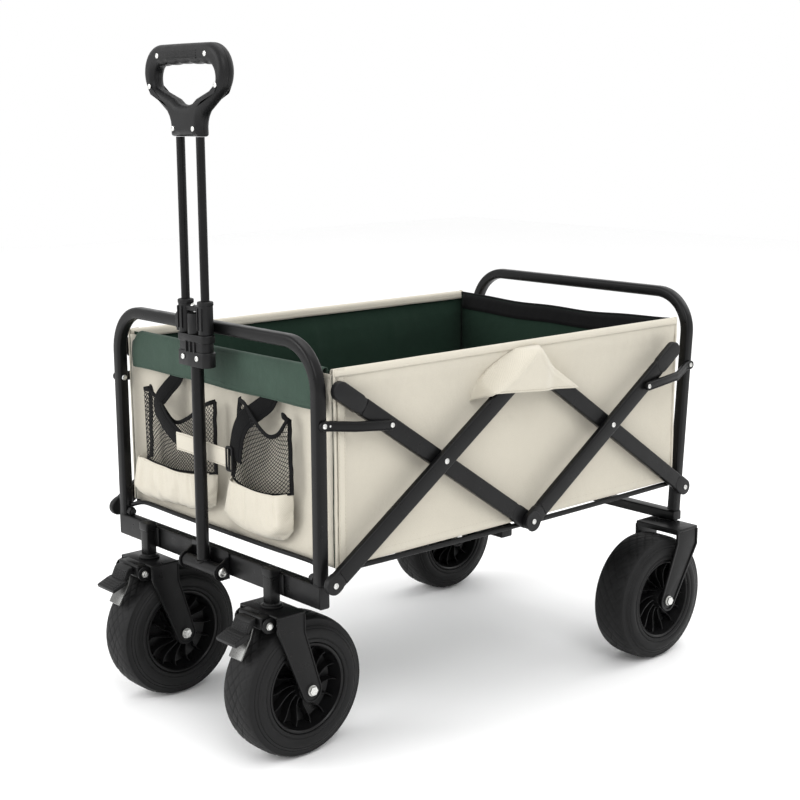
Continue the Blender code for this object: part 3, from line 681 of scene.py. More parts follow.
def make_links(side, sign):
    """The links from the posts to the free bars, each a shallow channel that steps out past the bars."""
    front_post, rear_post = (MID_Y - BAY, FRONT_LINK_Z), (rear_post_y(REAR_LINK_Z), REAR_LINK_Z)
    for label, post, length, cross, way, far_x, step in (
        ("front_link", front_post, 0.105, FRONT_CROSS, -1, 0.259, (0.011, 0.042)),
        ("rear_link", rear_post, 0.136, REAR_CROSS, 1, 0.2725, (0.011, 0.066)),
    ):
        far = link_end(post, length, cross, way)
        length = math.dist(post, far)
        heading = ((far[0] - post[0]) / length, (far[1] - post[1]) / length)

        def reach(place):
            return (place[0] - post[0]) * heading[0] + (place[1] - post[1]) * heading[1]

        def on_strip(place, depth):
            share = min(max((reach(place) - step[0]) / (step[1] - step[0]), 0.0), 1.0)
            return sign * (LINK_POST_X + (far_x - LINK_POST_X) * share + depth), place[0], place[1]

        sheet = LINK_T - 0.0012
        stations = [post, along(post, far, step[0]), along(post, far, step[1]), far]
        shape = Shape().sweep([on_strip(place, sheet / 2) for place in stations],
                              rounded_rect(LINK_H / 2, sheet / 2, 0.0006, 2), RIGHT)
        for place in (post, far):
            x0, x1 = sorted((on_strip(place, 0.0)[0], on_strip(place, sheet)[0]))
            shape.plate("YZ", [circle(place, LINK_H / 2, 32)], x0, x1, bevel=0.0006)
        outline = strip(post, far, LINK_H - 0.0022)
        rim = []
        for one, other in zip(outline, outline[1:] + outline[:1]):
            rim.append(on_strip(one, sheet))
            start, end = reach(one), reach(other)
            for distance in sorted(step, reverse=start > end):
                if min(start, end) < distance < max(start, end):
                    share = (distance - start) / (end - start)
                    rim.append(on_strip(tuple(a + (b - a) * share for a, b in zip(one, other)), sheet))
        shape.wire(rim, 0.0011, RIGHT, closed=True)
        name, body = f"{label}_{side}", label + "s"
        shape.piece(name + "_strip", STEEL, body, [name])
        heads = Shape()
        for place in (post, far):
            rivet(heads, on_strip(place, sheet), (sign, 0, 0), 0.0036, 0.0018)
        if label == "front_link":
            rivet(heads, on_strip(along(post, far, 0.0095), sheet), (sign, 0, 0), 0.0016, 0.0007)
        heads.piece(name + "_rivets", ZINC, body)


# ---- Wheels ----

WHEEL_R, WHEEL_W, RIM_R = 0.1, 0.07, 0.064
TREAD_STEPS, TREAD_LOBES, TREAD_EDGE = 300, 30, 0.74


def tread_depth(angle, x):
    """How deep the criss-cross tread is cut at an angle round the tyre and a place across it."""
    across = x / (WHEEL_W / 2)
    if abs(across) > TREAD_EDGE:
        return 0.0
    turn = angle * TREAD_LOBES / (2 * math.pi)
    first = abs((turn + across * 2.3 + 0.12 * math.sin(6 * across)) % 1.0 - 0.5)
    second = abs((turn - across * 2.3 + 0.5) % 1.0 - 0.5)
    fade = min(1.0, (TREAD_EDGE - abs(across)) / 0.08)
    return 0.0011 * fade * max(0.0, 1.0 - min(first, second) / 0.1)


def tyre_mesh():
    """The wide tyre: a domed tread with shallow grooves, round shoulders, ringed sidewalls and a bead."""
    half, crown_steps, tread_from = WHEEL_W / 2, 48, WHEEL_R - 0.0055
    rings = ((0.0, 0.004), (0.0006, 0.0012), (0.0024, 0.0002), (0.005, 0.0004), (0.0062, 0.0016),
             (0.0074, 0.0006), (0.011, 0.0002), (0.015, 0.0008), (0.019, 0.0018), (0.0196, 0.0027),
             (0.0204, 0.0022), (0.0232, 0.0036), (0.0238, 0.0046), (0.0246, 0.0042), (0.0275, 0.0062))
    side = [(RIM_R + rise, half - inset) for rise, inset in rings]
    shares = [1 - 2 * i / crown_steps for i in range(crown_steps + 1)]
    crown = [(WHEEL_R - 0.0042 * abs(share) ** 4.0, (half - 0.0068) * share) for share in shares]
    profile = side + crown + [(radius, -x) for radius, x in reversed(side)]
    verts = []
    for i in range(TREAD_STEPS):
        angle = 2 * math.pi * i / TREAD_STEPS
        for radius, x in profile:
            if radius > tread_from:
                radius -= tread_depth(angle, x)
            verts.append((x, radius * math.cos(angle), radius * math.sin(angle)))
    return verts, skin(TREAD_STEPS, len(profile), True, True)


def hub_mesh():
    """The moulded hub: a rim lip, a deep recess each side, thin curved ribs and a boss."""
    half, outer, boss = WHEEL_W / 2, RIM_R - 0.0003, 0.015
    face = [(outer - inset, half - depth) for inset, depth in (
        (0.0, 0.005), (0.0008, 0.0022), (0.003, 0.0016), (0.0046, 0.003), (0.0056, 0.0065), (0.0086, 0.017),
        (0.011, 0.0235))]
    face += [(radius, half - depth) for radius, depth in (
        (0.04, 0.0262), (0.021, 0.0262), (0.0172, 0.0245), (0.016, 0.006), (boss, 0.0016), (0.0138, 0.001),
        (0.0046, 0.001))]
    shape = Shape().turn(face + [(radius, -x) for radius, x in reversed(face)], 96, ring=True)
    ribs, points, half_t, foot = 14, 9, 0.0008, half - 0.027
    for way in (-1, 1):
        for rib in range(ribs):
            path = []
            for i in range(points):
                share = i / (points - 1)
                radius = boss + (outer - 0.0085 - boss) * share
                angle = 2 * math.pi * rib / ribs + 0.42 * math.sin(share * math.pi * 0.62)
                path.append((radius * math.cos(angle), radius * math.sin(angle), share))
            verts = []
            for i, (y, z, share) in enumerate(path):
                ahead, behind = path[min(i + 1, points - 1)], path[max(i - 1, 0)]
                dy, dz = ahead[0] - behind[0], ahead[1] - behind[1]
                length = math.hypot(dy, dz)
                ny, nz = -dz / length * half_t, dy / length * half_t
                top = half - 0.009 - 0.004 * math.sin(share * math.pi)
                for offset, x in ((1.25, foot), (0.8, top - 0.0006), (0.3, top), (-0.3, top),
                                  (-0.8, top - 0.0006), (-1.25, foot)):
                    verts.append((way * x, y + ny * offset, z + nz * offset))
            shape.add(verts, skin(points, 6))
    return shape.verts, shape.faces


def make_wheels():
    """Tyres, hubs and the bolts they turn on."""
    tyre, hub = tyre_mesh(), hub_mesh()
    for end in ("front", "rear"):
        for side, sign in SIDES:
            wheel = f"{end}_{side}"
            centre, body = middle(f"tyre_{wheel}"), f"{end}_wheel_{side}"
            place = Matrix.Translation(centre) @ Matrix.Rotation(0.0 if sign > 0 else math.pi, 4, "Z")
            Shape().add(*tyre, place).piece(f"tyre_{wheel}_tread", TYRE, body, [f"tyre_{wheel}"], 50)
            Shape().add(*hub, place).piece(f"hub_{wheel}_moulding", HUB_PLASTIC, body, [f"hub_{wheel}"], 30)
            bolt = Shape()
            reach = LEG_OUT + 0.0003
            for way in (-1, 1):
                hex_bolt(bolt, centre + Vector((way * reach, 0, 0)), (way, 0, 0), 0.0068, 0.0048)
            bolt.turn(pin(0.004, reach), 20, at=Matrix.Translation(centre))
            carrier = f"caster_{side}" if end == "front" else "rear_frame"
            bolt.piece(f"axle_bolt_{wheel}_hex", ZINC, carrier, [f"axle_bolt_{wheel}"])


# ---- Forks and brakes ----

LEG_IN, LEG_T = 0.0392, 0.0033
LEG_OUT = LEG_IN + LEG_T
LEG_END_R = 0.017


def fork_outline(axle_y, y0, y1, lows, top, lean, inset=0.0):
    """Side view of a fork's leg: wide at the crown and round about the axle, drawn in by an inset."""
    foot = arc((axle_y, WHEEL_R), LEG_END_R - inset, 180 + lean, 360 + lean, 18)
    return [(y0 + inset, top), (y0 + inset, lows[0]), *foot, (y1 - inset, lows[1]), (y1 - inset, top)]


def make_fork(end, side):
    """A pressed fork: a crown with turned-down edges, and tapered legs whose rims are folded outwards."""
    node = f"fork_{end}_{side}"
    axle = middle(f"tyre_{end}_{side}")
    x, out, lip = axle.x, LEG_OUT, 0.0085
    if end == "front":
        body, y0, y1, lean = f"caster_{side}", axle.y - 0.056, axle.y - 0.009, 12
        crown, crown_t = 0.216, 0.0038
        rim_proud, rim_half = 0.0008, 0.0012
    else:
        body, y0, y1, lean = "rear_frame", axle.y + 0.019, axle.y + 0.07, -22
        crown, crown_t = corner(node, 1, 2), 0.0052
        rim_proud, rim_half = 0.0003, 0.0018
    lows = (crown - 0.022, crown - 0.03)
    outline = fork_outline(axle.y, y0, y1, lows, crown - 0.0004, lean)
    rim = fork_outline(axle.y, y0, y1, lows, crown - 0.005, lean, 0.0014)
    hole = circle((axle.y, WHEEL_R), 0.0046, 20)
    shape = Shape()
    for way in (-1, 1):
        x0, x1 = sorted_span(way, LEG_IN, out - 0.0006)
        shape.plate("YZ", [outline, hole], x + x0, x + x1, bevel=0.0007)
        path = [(x + way * (out - rim_proud), y, z) for y, z in rim]
        shape.sweep(path, rounded_rect(rim_half, 0.0013, 0.0008, 2), RIGHT)
        boss = [(0.0105, 0.0), (0.0105, 0.0004), (0.0098, 0.0008), (0.0047, 0.0008)]
        shape.turn(boss, 28, at=facing((x + way * (out - 0.0008), axle.y, WHEEL_R), (way, 0, 0)))
    shape.block((x - out, y0, crown - crown_t), (x + out, y1, crown), 0.0016, 3)
    lip_low, lip_high, half = crown - lip, crown - 0.0006, out - 0.002
    shape.block((x - half, y1 - 0.0026, lip_low), (x + half, y1 - 0.0002, lip_high))
    if end == "front":
        shape.block((x - 0.026, y0 - 0.015, 0.197), (x + 0.026, y0 + 0.004, 0.2158), 0.0034, 3)
        ear = strip((y0 - 0.006, 0.2035), (y0 + 0.015, 0.203), 0.021)
        for middle_x in (x - 0.031, x + 0.031):
            shape.plate("YZ", [ear], middle_x - 0.0012, middle_x + 0.0012, bevel=0.0006)
    else:
        shape.block((x - half, y0 + 0.0002, lip_low), (x + half, y0 + 0.0026, lip_high))
    shape.piece(f"{node}_pressing", STEEL, body, [node])


def make_forks():
    """The casters' forks and the fixed rear forks."""
    for end in ("front", "rear"):
        for side, _ in SIDES:
            make_fork(end, side)


def make_brakes():
    """Two-step ribbed pedals, bent bright plates and their bolts."""
    upper = ((0.0, 0.01), (-0.007, 0.0092), (-0.0104, 0.0062), (-0.0166, -0.0072), (-0.017, -0.0118),
             (-0.015, -0.013), (-0.0042, -0.001), (0.0, -0.0004))
    lower = ((-0.014, -0.0072), (-0.02, -0.0088), (-0.0372, -0.0164), (-0.0379, -0.0172), (-0.0366, -0.0212),
             (-0.035, -0.0211), (-0.0168, -0.0148), (-0.013, -0.0112))
    shoe = ((-0.0008, -0.0032), (-0.006, -0.018), (-0.02, -0.044), (-0.0225, -0.0456), (-0.0236, -0.044),
            (-0.0078, -0.017), (-0.004, -0.0045))
    ribs = ((5, (0.011, 0.005), (0.0162, -0.006), 0.015), (4, (0.0225, -0.01), (0.0345, -0.0152), 0.019))
    for side, _ in SIDES:
        axle = middle(f"tyre_front_{side}")
        x, rear, z = axle.x, corner(f"brake_pedal_{side}", 1, 1), 0.203

        def outline(points):
            return [(rear + dy, z + dz) for dy, dz in points]

        pedal = Shape().plate("YZ", [outline(upper)], x - 0.0175, x + 0.0175, bevel=0.0016, segments=3)
        pedal.plate("YZ", [outline(lower)], x - 0.0225, x + 0.0225, bevel=0.0014, segments=3)
        for count, start, end, half in ribs:
            for i in range(count):
                share = i / (count - 1)
                y = rear - start[0] - (end[0] - start[0]) * share
                top = z + start[1] + (end[1] - start[1]) * share
                pedal.wire([(x - half, y, top), (x + half, y, top)], 0.001)
        pedal.piece(f"brake_pedal_{side}_ribbed", PLASTIC, f"brake_{side}", [f"brake_pedal_{side}"])
        bright = Shape().plate("YZ", [outline(shoe)], x - 0.014, x + 0.014, bevel=0.0006)
        bright.piece(f"brake_plate_{side}_bent", PLATE_ZINC, f"brake_{side}", [f"brake_plate_{side}"])
        bolts = Shape()
        for way in (-1, 1):
            cheek = x + way * 0.0322
            hex_bolt(bolts, (cheek, axle.y - 0.062, z + 0.0005), (way, 0, 0), 0.0046, 0.0036)
            rivet(bolts, (cheek, axle.y - 0.047, z + 0.001), (way, 0, 0), 0.003, 0.0014)
        bolts.piece(f"brake_bolts_{side}", ZINC, f"caster_{side}")


# ---- Handle ----

MAST_Y = MID_Y - BAY - 0.022
ROD_X, ROD_R, MAST_R = 0.0235, 0.006, 0.009
FOOT_Z = 0.24


def make_handle():
    """Foot tube in its eared bracket, mast, collar with bolts, slotted rod guide and twin rods."""
    foot_at = (0, MAST_Y, FOOT_Z)
    foot = Shape()
    rim = [(0.0045, 0.04), (0.0092, 0.04), (0.01, 0.0392)]
    foot.turn([(radius, -x) for radius, x in rim] + rim[::-1], 40, ring=True, at=Matrix.Translation(foot_at))
    weld(foot, (0, MAST_Y, FOOT_Z + 0.01), 0.0094, 0.0012, 0.003)
    foot.piece("handle_foot_tube_welded", STEEL, "handle_mast", ["handle_foot_tube"])
    mast = [(0.0, 0.0), (MAST_R, 0.0), (MAST_R, 0.344), (MAST_R - 0.0012, 0.3452), (0.0, 0.3452)]
    mast = Shape().turn(mast, 40, at=facing((0, MAST_Y, FOOT_Z + 0.0098), UP))
    mast.piece("handle_mast_tube", STEEL, "handle_mast", ["handle_mast"])
    front = corner("handle_bracket", 1, 1)
    bracket = Shape().block((-0.045, front - 0.0022, 0.2372), (0.045, front, 0.2668))
    ear = [(front, FOOT_Z - 0.012), (front, FOOT_Z + 0.019), (front - 0.004, FOOT_Z + 0.019)]
    ear += arc((MAST_Y, FOOT_Z), 0.0125, 90, 270, 18)
    for sign in (-1, 1):
        bracket.plate("YZ", [ear, circle((MAST_Y, FOOT_Z), 0.0045)], *sorted_span(sign, 0.0412, 0.045),
                      bevel=0.0007)
        boss = [(0.0105, 0.0), (0.0103, 0.001), (0.0095, 0.0014), (0.005, 0.0014)]
        bracket.turn(boss, 32, at=facing((sign * 0.0448, MAST_Y, FOOT_Z), (sign, 0, 0)))
    bracket.piece("handle_bracket_folded", STEEL, "front_frame", ["handle_bracket"])
    bolt = Shape().turn(pin(0.004, 0.046), 20, at=Matrix.Translation(foot_at))
    for sign in (-1, 1):
        rivet(bolt, (sign * 0.046, MAST_Y, FOOT_Z), (sign, 0, 0), 0.0068, 0.0036)
    bolt.piece("handle_pivot_bolt_head", ZINC, "front_frame", ["handle_pivot_bolt"])
    make_guides()
    low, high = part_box("handle_rod_left")
    length = high.z - low.z
    rod = [(0.0, 0.0), (ROD_R - 0.0008, 0.0), (ROD_R, 0.001), (ROD_R, length), (0.0, length)]
    rods = Shape()
    for sign in (-1, 1):
        rods.turn(rod, 32, at=facing((sign * ROD_X, MAST_Y, low.z), UP))
    rods.piece("handle_rods_bright_black", STEEL, "handle_grip", ["handle_rod_left", "handle_rod_right"])


def make_guides():
    """The collar clamped on the mast and the two-sleeve guide above it, with the lock button."""
    low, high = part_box("mast_collar")
    holes = {sign: circle((sign * ROD_X, MAST_Y), ROD_R + 0.0004) for sign in (-1, 1)}
    mast_hole = circle((0, MAST_Y), MAST_R + 0.0004)
    outline = arc((ROD_X, MAST_Y), 0.012, -70, 70, 16) + arc((-ROD_X, MAST_Y), 0.012, 110, 250, 16)
    waist = [(x * 0.93, MAST_Y + (y - MAST_Y) * 0.88) for x, y in outline]
    collar = Shape()
    for shell, z0, z1, bevel in ((outline, low.z, low.z + 0.021, 0.0014),
                                 (waist, low.z + 0.02, high.z - 0.01, 0.001),
                                 (outline, high.z - 0.011, high.z, 0.0014)):
        collar.plate("XY", [shell, mast_hole, *holes.values()], z0, z1, bevel=bevel)
    for x in (-0.01, 0.0, 0.01):
        collar.block((x - 0.0016, MAST_Y - 0.0122, low.z + 0.0195),
                     (x + 0.0016, MAST_Y - 0.009, high.z - 0.01))
    collar.piece("mast_collar_moulded", PLASTIC, "handle_mast", ["mast_collar"])
    bolts = Shape()
    for x in (0.0165, -0.0165):
        rivet(bolts, (x, MAST_Y - 0.0118, low.z + 0.0125), (0, -1, 0), 0.004, 0.0022)
    rivet(bolts, (0.0, MAST_Y - 0.004, 0.6115), (0, -0.4, 1), 0.0036, 0.002)
    bolts.piece("mast_collar_bolts", ZINC, "handle_mast")
    low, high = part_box("rod_guide")
    guide = Shape()
    for sign in (-1, 1):
        for radius, z0, z1, bevel in ((0.0105, low.z, high.z, 0.0012),
                                      (0.0112, high.z - 0.006, high.z - 0.0006, 0.001)):
            sleeve = circle((sign * ROD_X, MAST_Y), radius, 40)
            guide.plate("XY", [sleeve, holes[sign]], z0, z1, bevel=bevel)
        for offset in (-0.0045, 0.0045):
            x = sign * ROD_X + offset
            guide.block((x - 0.001, MAST_Y - 0.0116, low.z + 0.006),
                        (x + 0.001, MAST_Y - 0.0086, high.z - 0.009), 0.0006)
    web = [(x, MAST_Y + y) for x, y in ((-0.014, -0.0065), (0.014, -0.0065), (0.014, 0.0065),
                                        (-0.014, 0.0065))]
    guide.plate("XY", [web], high.z - 0.015, high.z - 0.008, bevel=0.001)
    guide.plate("XY", [circle((0, MAST_Y), 0.0118, 32), mast_hole], low.z, low.z + 0.028, bevel=0.0012)
    guide.piece("rod_guide_moulded", PLASTIC, "handle_mast", ["rod_guide"])
    low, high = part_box("rod_lock_button")
    button = Shape().block(low, high, 0.0018, 3)
    for i in range(4):
        z = low.z + 0.0045 + 0.0037 * i
        button.wire([(low.x, low.y + 0.0022, z), (low.x, high.y - 0.0022, z)], 0.0007)
    button.piece("rod_lock_button_ribbed", PLASTIC, "rod_lock_button", ["rod_lock_button"])
    housing = Shape().block((high.x + 0.0004, MAST_Y - 0.0075, low.z - 0.003),
                            (-0.032, MAST_Y + 0.0075, high.z + 0.003), 0.0014)
    housing.piece("rod_lock_housing", PLASTIC, "handle_mast")


def grip_outline():
    """Half profile of the loop grip, from the foot of its yoke up and round to the top of the bar."""
    points = [(0.033, 0.8377), (0.0328, 0.842), (0.0325, 0.85), (0.0335, 0.856), (0.0362, 0.8625),
              (0.041, 0.869)]
    points += arc((0.0563, 0.9215), 0.0372, -38, 90, 20)
    points += [(0.04, 0.9588), (0.02, 0.9589)]
    return points


def make_grip():
    """The loop grip: two rounded shells with finger scallops, fine ribs on the bar and six screws."""
    half = grip_outline()
    outline = half + [(-x, z) for x, z in reversed(half)]
    right = [(0.008, 0.8792), (0.018, 0.8816), (0.0275, 0.8878)]
    right += arc((0.0545, 0.9135), 0.0185, -40, 84, 14)
    top = 0.9322
    scallops = []
    for i in range(33):
        x = 0.053 - 0.106 * i / 32
        wave = 0.0016 * abs(math.cos(math.pi * (x + 0.053) / 0.0265))
        scallops.append((x, top - wave + 0.0016 * (1 - abs(x) / 0.053)))
    opening = right + scallops + [(-x, z) for x, z in reversed(right)]
    half_t, round_r = 0.0122, 0.0098
    mesh = plate_mesh("grip", "XZ", [outline, opening], MAST_Y - half_t, MAST_Y + half_t, bevel=round_r,
                      segments=7)
    for name, way, node in (("grip_front_half", -1, "grip_front_shell"),
                            ("grip_rear_half", 1, "grip_rear_shell")):
        work = bmesh.new()
        work.from_mesh(mesh)
        seam = (0, MAST_Y + way * 0.0002, 0)
        cut = bmesh.ops.bisect_plane(work, geom=work.verts[:] + work.edges[:] + work.faces[:], plane_co=seam,
                                     plane_no=(0, -way, 0), clear_outer=True)
        edges = [e for e in cut["geom_cut"] if isinstance(e, bmesh.types.BMEdge)]
        bmesh.ops.triangle_fill(work, edges=edges, use_beauty=True)
        half_mesh = bpy.data.meshes.new(name)
        work.to_mesh(half_mesh)
        work.free()
        settle_piece(name, half_mesh, PLASTIC, "handle_grip", [node], 40)
    bpy.data.meshes.remove(mesh)
    face = MAST_Y - half_t
    ribs = Shape()
    for i in range(4):
        z = 0.9392 + 0.0032 * i
        ribs.wire([(-0.036, face + 0.0002, z), (0.036, face + 0.0002, z)], 0.0008)
    ribs.piece("grip_ribs", PLASTIC, "handle_grip")
    screws = Shape()
    for x, z in ((0.056, 0.944), (0.0775, 0.904), (0.0235, 0.848)):
        for sign in (-1, 1):
            rivet(screws, (sign * x, face + 0.0003, z), (0, -1, 0), 0.0036, 0.0014)
    screws.piece("grip_screws", ZINC, "handle_grip")


# ---- Cloth ----

FRONT_Y, BACK_Y = corner("front_wall", 0, 1), corner("rear_wall", 1, 1)
TUB_LENGTH = BACK_Y - FRONT_Y
TUB_X, TUB_LOW, TUB_TOP = (corner("side_wall_right", *pick) for pick in ((1, 0), (0, 2), (1, 2)))
CLOTH_X = TUB_X - 0.0006
CLOTH_ANGLE = 60
WALL_T, LINING_T, HEM_T = 0.0012, 0.001, 0.0011
FLOOR_GAP = 0.0012


def smooth(value, low, high):
    """0 below low, 1 above high, and an S curve between."""
    share = min(1.0, max(0.0, (value - low) / (high - low)))
    return share * share * (3 - 2 * share)


def curve_value(points, share):
    """The place on a smooth curve through points, at a share from 0 to 1."""
    last = len(points) - 1
    place = min(max(share, 0.0), 1.0) * last
    i = min(int(place), last - 1)
    t = place - i
    picks = [points[min(max(i + step, 0), last)] for step in (-1, 0, 1, 2)]
    blend = (-0.5 * t ** 3 + t * t - 0.5 * t, 1.5 * t ** 3 - 2.5 * t * t + 1,
             -1.5 * t ** 3 + 2 * t * t + 0.5 * t, 0.5 * t ** 3 - 0.5 * t * t)
    return tuple(sum(b * p[axis] for b, p in zip(blend, picks)) for axis in range(len(points[0])))


def smooth_path(points, count):
    """Evenly read points of a smooth curve through a few."""
    return [curve_value(points, i / count) for i in range(count + 1)]


def ripple(place, scale, seed):
    """Smooth noise from -1 to 1 of this many cycles per metre."""
    return noise.noise(Vector(place) * scale + Vector((seed * 7.3, seed * 3.1, seed)))


def hump(place, centre, width):
    """A smooth bump of height 1."""
    return math.exp(-((place - centre) / width) ** 2)


def plateau(share, rise, fall):
    """0 at both ends and 1 between rise and fall."""
    return smooth(share, 0.0, rise) * (1 - smooth(share, fall, 1.0))


def grid_mesh(name, points, wide, flip=1):
    """A mesh from rows of points, each row this many points wide."""
    mesh = bpy.data.meshes.new(name)
    mesh.from_pydata(points, [], skin(len(points) // wide, wide, flip=flip))
    return mesh


def sheet_mesh(name, place, columns, rows):
    """A grid of cloth whose points are place(u, v), with u and v from 0 to 1."""
    points = [place(i / columns, j / rows) for j in range(rows + 1) for i in range(columns + 1)]
    return grid_mesh(name, points, columns + 1)


def grid_of(mesh, columns):
    """The points of a sheet's mesh, row by row."""
    return np.array([v.co for v in mesh.vertices]).reshape(-1, columns + 1, 3)


def thicken(piece, thickness, offset=-1.0):
    """Give a sheet its thickness, as part of its mesh."""
    step = piece.modifiers.new("thickness", "SOLIDIFY")
    step.thickness = thickness
    step.offset = offset
    bpy.context.view_layer.update()
    mesh = bpy.data.meshes.new_from_object(piece.evaluated_get(bpy.context.evaluated_depsgraph_get()))
    piece.modifiers.remove(step)
    piece.data = mesh
    return piece


def simulate(mesh, pinned, gravity, slack, frames, cap):
    """Let a pinned sheet that is cut a little large hang and wrinkle, and write the result to its mesh."""
    scene = bpy.context.scene
    piece = bpy.data.objects.new("hanging_cloth", mesh)
    scene.collection.objects.link(piece)
    group = piece.vertex_groups.new(name="pins")
    group.add(pinned, 1.0, "REPLACE")
    rest = np.array([v.co for v in mesh.vertices])
    cloth = piece.modifiers.new("cloth", "CLOTH")
    settings = cloth.settings
    settings.quality = 5
    settings.mass = 0.25
    settings.tension_stiffness = settings.compression_stiffness = 25.0
    settings.shear_stiffness = 12.0
    settings.bending_stiffness = 1.2
    settings.air_damping = 3.0
    settings.vertex_group_mass = group.name
    settings.shrink_min = -slack
    cloth.collision_settings.use_collision = False
    scene.gravity = gravity
    cloth.point_cache.frame_start, cloth.point_cache.frame_end = 1, frames
    for step in range(1, frames + 1):
        scene.frame_set(step)
    shaped = piece.evaluated_get(bpy.context.evaluated_depsgraph_get()).to_mesh()
    moved = np.array([v.co for v in shaped.vertices]) - rest
    lengths = np.linalg.norm(moved, axis=1, keepdims=True)
    moved *= np.minimum(1.0, cap / np.maximum(lengths, 1e-9))
    mesh.vertices.foreach_set("co", (rest + moved).astype(np.float32).ravel())
    bpy.data.objects.remove(piece, do_unlink=True)
    mesh.update()
    scene.frame_set(1)


def rim_indices(columns, rows):
    """Indices of the points round the edge of a grid."""
    wide = columns + 1
    return [j * wide + i for j in range(rows + 1) for i in range(wide) if i in (0, columns) or j in (0, rows)]


def fold_with_walls(piece):
    """Let a piece of the walls or floor ride on the front frame, at the handle end, with a mesh of its own.
    """
    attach(piece, "front_frame")
    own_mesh(piece)


def side_panel(columns, rows):
    """The right wall's cloth: slack between its edges, drawn in by the bars, and wrinkled at the corners."""

    def place(u, v):
        y, z = FRONT_Y + TUB_LENGTH * u, TUB_LOW + (TUB_TOP - TUB_LOW) * v
        belly = math.sin(math.pi * u) ** 0.6 * math.sin(math.pi * v) ** 0.6
        pull = sum(math.exp(-((u - spot) ** 2 + (v - 0.95) ** 2 * 0.4) / 0.012) for spot in (0.02, 0.98))
        fold = 0.0016 * pull * math.sin(70 * (u - v * 0.3))
        slack = 0.0011 * ripple((0, y, z * 0.6), 9.0, 1) + 0.0006 * ripple((0, y, z), 26.0, 2)
        return (CLOTH_X - 0.0032 * belly - abs(fold) - (slack + 0.0012) * belly, y, z)

    mesh = sheet_mesh("side_cloth", place, columns, rows)
    simulate(mesh, rim_indices(columns, rows), (-6.0, 0.0, -7.0), 0.006, 18, 0.008)
    grid = grid_of(mesh, columns)
    below_hem = np.clip((TUB_TOP - grid[:, :, 2] - 0.006) / 0.03, 0, 1)
    grid[:, :, 0] = CLOTH_X - np.clip(CLOTH_X - grid[:, :, 0], 0, 0.012) * below_hem
    return grid


def grid_piece(name, grid, material, thickness, body, replaces=(), flip=1):
    """A cloth piece from a grid of points."""
    mesh = grid_mesh(name, [tuple(p) for p in grid.reshape(-1, 3)], grid.shape[1], flip)
    return thicken(settle_piece(name, mesh, material, body, replaces, CLOTH_ANGLE), thickness)


def make_side_walls():
    """Outer cloth, lining, top hem, bottom rail, stitches, corners and pivot flaps of both long sides."""
    rows, height = 40, TUB_TOP - TUB_LOW
    outer = side_panel(110, rows)
    lining = outer[:-1].copy()
    under_hem = np.clip((TUB_TOP - lining[:, :, 2] - 0.01) / 0.03, 0, 1) ** 1.5
    crease = sum(np.exp(-((lining[:, :, 1] - MID_Y - spot) / 0.006) ** 2) for spot in (-0.175, 0.0, 0.175))
    slack = 0.001 * np.sin(lining[:, :, 1] * 61.0) * np.sin(lining[:, :, 2] * 23.0) - 0.0022 * crease
    lining[:, :, 0] += np.minimum(slack * under_hem, 0.0006) - 0.0036
    for side, sign in SIDES:
        flip = np.array([sign, 1, 1])
        wall = grid_piece(f"side_wall_{side}_cloth", outer * flip, CREAM, WALL_T, None,
                          [f"side_wall_{side}"], sign)
        inner = grid_piece(f"side_lining_{side}", lining * flip, GREEN, LINING_T, None, (), -sign)
        hem = hem_piece(side, sign)
        for piece in (wall, inner, hem):
            fold_with_walls(piece)
        rail = [(sign * 0.244, FRONT_Y + 0.004 + (TUB_LENGTH - 0.008) * u,
                 0.2795 - 0.003 * math.sin(math.pi * u) - 0.0012 * u) for u in [i / 24 for i in range(25)]]
        rod = Shape().sweep(rail, rounded_rect(0.0033, 0.0036, 0.0022, 3))
        fold_with_walls(rod.piece(f"floor_rail_{side}", STEEL, None))
        seam = Shape()
        for z, proud in ((TUB_LOW + 0.0105, 0.0003), (TUB_TOP - 0.0068, 0.0003 + 0.0012)):
            row = min(range(rows + 1), key=lambda j: abs(outer[j, 5, 2] - z))
            seam.sew([(sign * (p[0] + proud), p[1], z) for p in outer[row, 1:-1]], 0.004, 0.0022)
        fold_with_walls(seam.piece(f"side_stitches_{side}", THREAD, None))
        make_corners(side, sign)
        make_pivot_flap(side, sign, outer)


def hem_piece(side, sign):
    """The turned-over top edge of a long side, deeper inside than outside."""
    columns = 140

    def section(u):
        y = FRONT_Y + 0.0006 + (TUB_LENGTH - 0.0012) * u
        wave = 0.0007 * ripple((y, 0, 0), 14.0, 3)
        drop = 0.0006 * ripple((y, 0.5, 0), 22.0, 4)
        top = TUB_TOP + 0.0006 + 0.3 * drop
        out, inn = TUB_X + 0.0004 + wave * 0.3, TUB_X - 0.0076 + wave
        points = [(out - 0.0003, TUB_TOP - 0.0088), (out, TUB_TOP - 0.0066), (out + 0.0002, TUB_TOP - 0.0046),
                  (out - 0.0005, top - 0.0022), (out - 0.0022, top - 0.0004), ((out + inn) / 2, top),
                  (inn + 0.002, top - 0.0004), (inn + 0.0004, top - 0.0022), (inn, TUB_TOP - 0.005),
                  (inn + 0.0002, TUB_TOP - 0.008), (inn - 0.0001, TUB_TOP - 0.0118 + drop)]
        return [(sign * x, y, z) for x, z in points]

    grid = np.array([section(i / columns) for i in range(columns + 1)]).transpose(1, 0, 2)
    return grid_piece(f"side_hem_{side}", grid, CREAM, HEM_T, None, (), -sign)


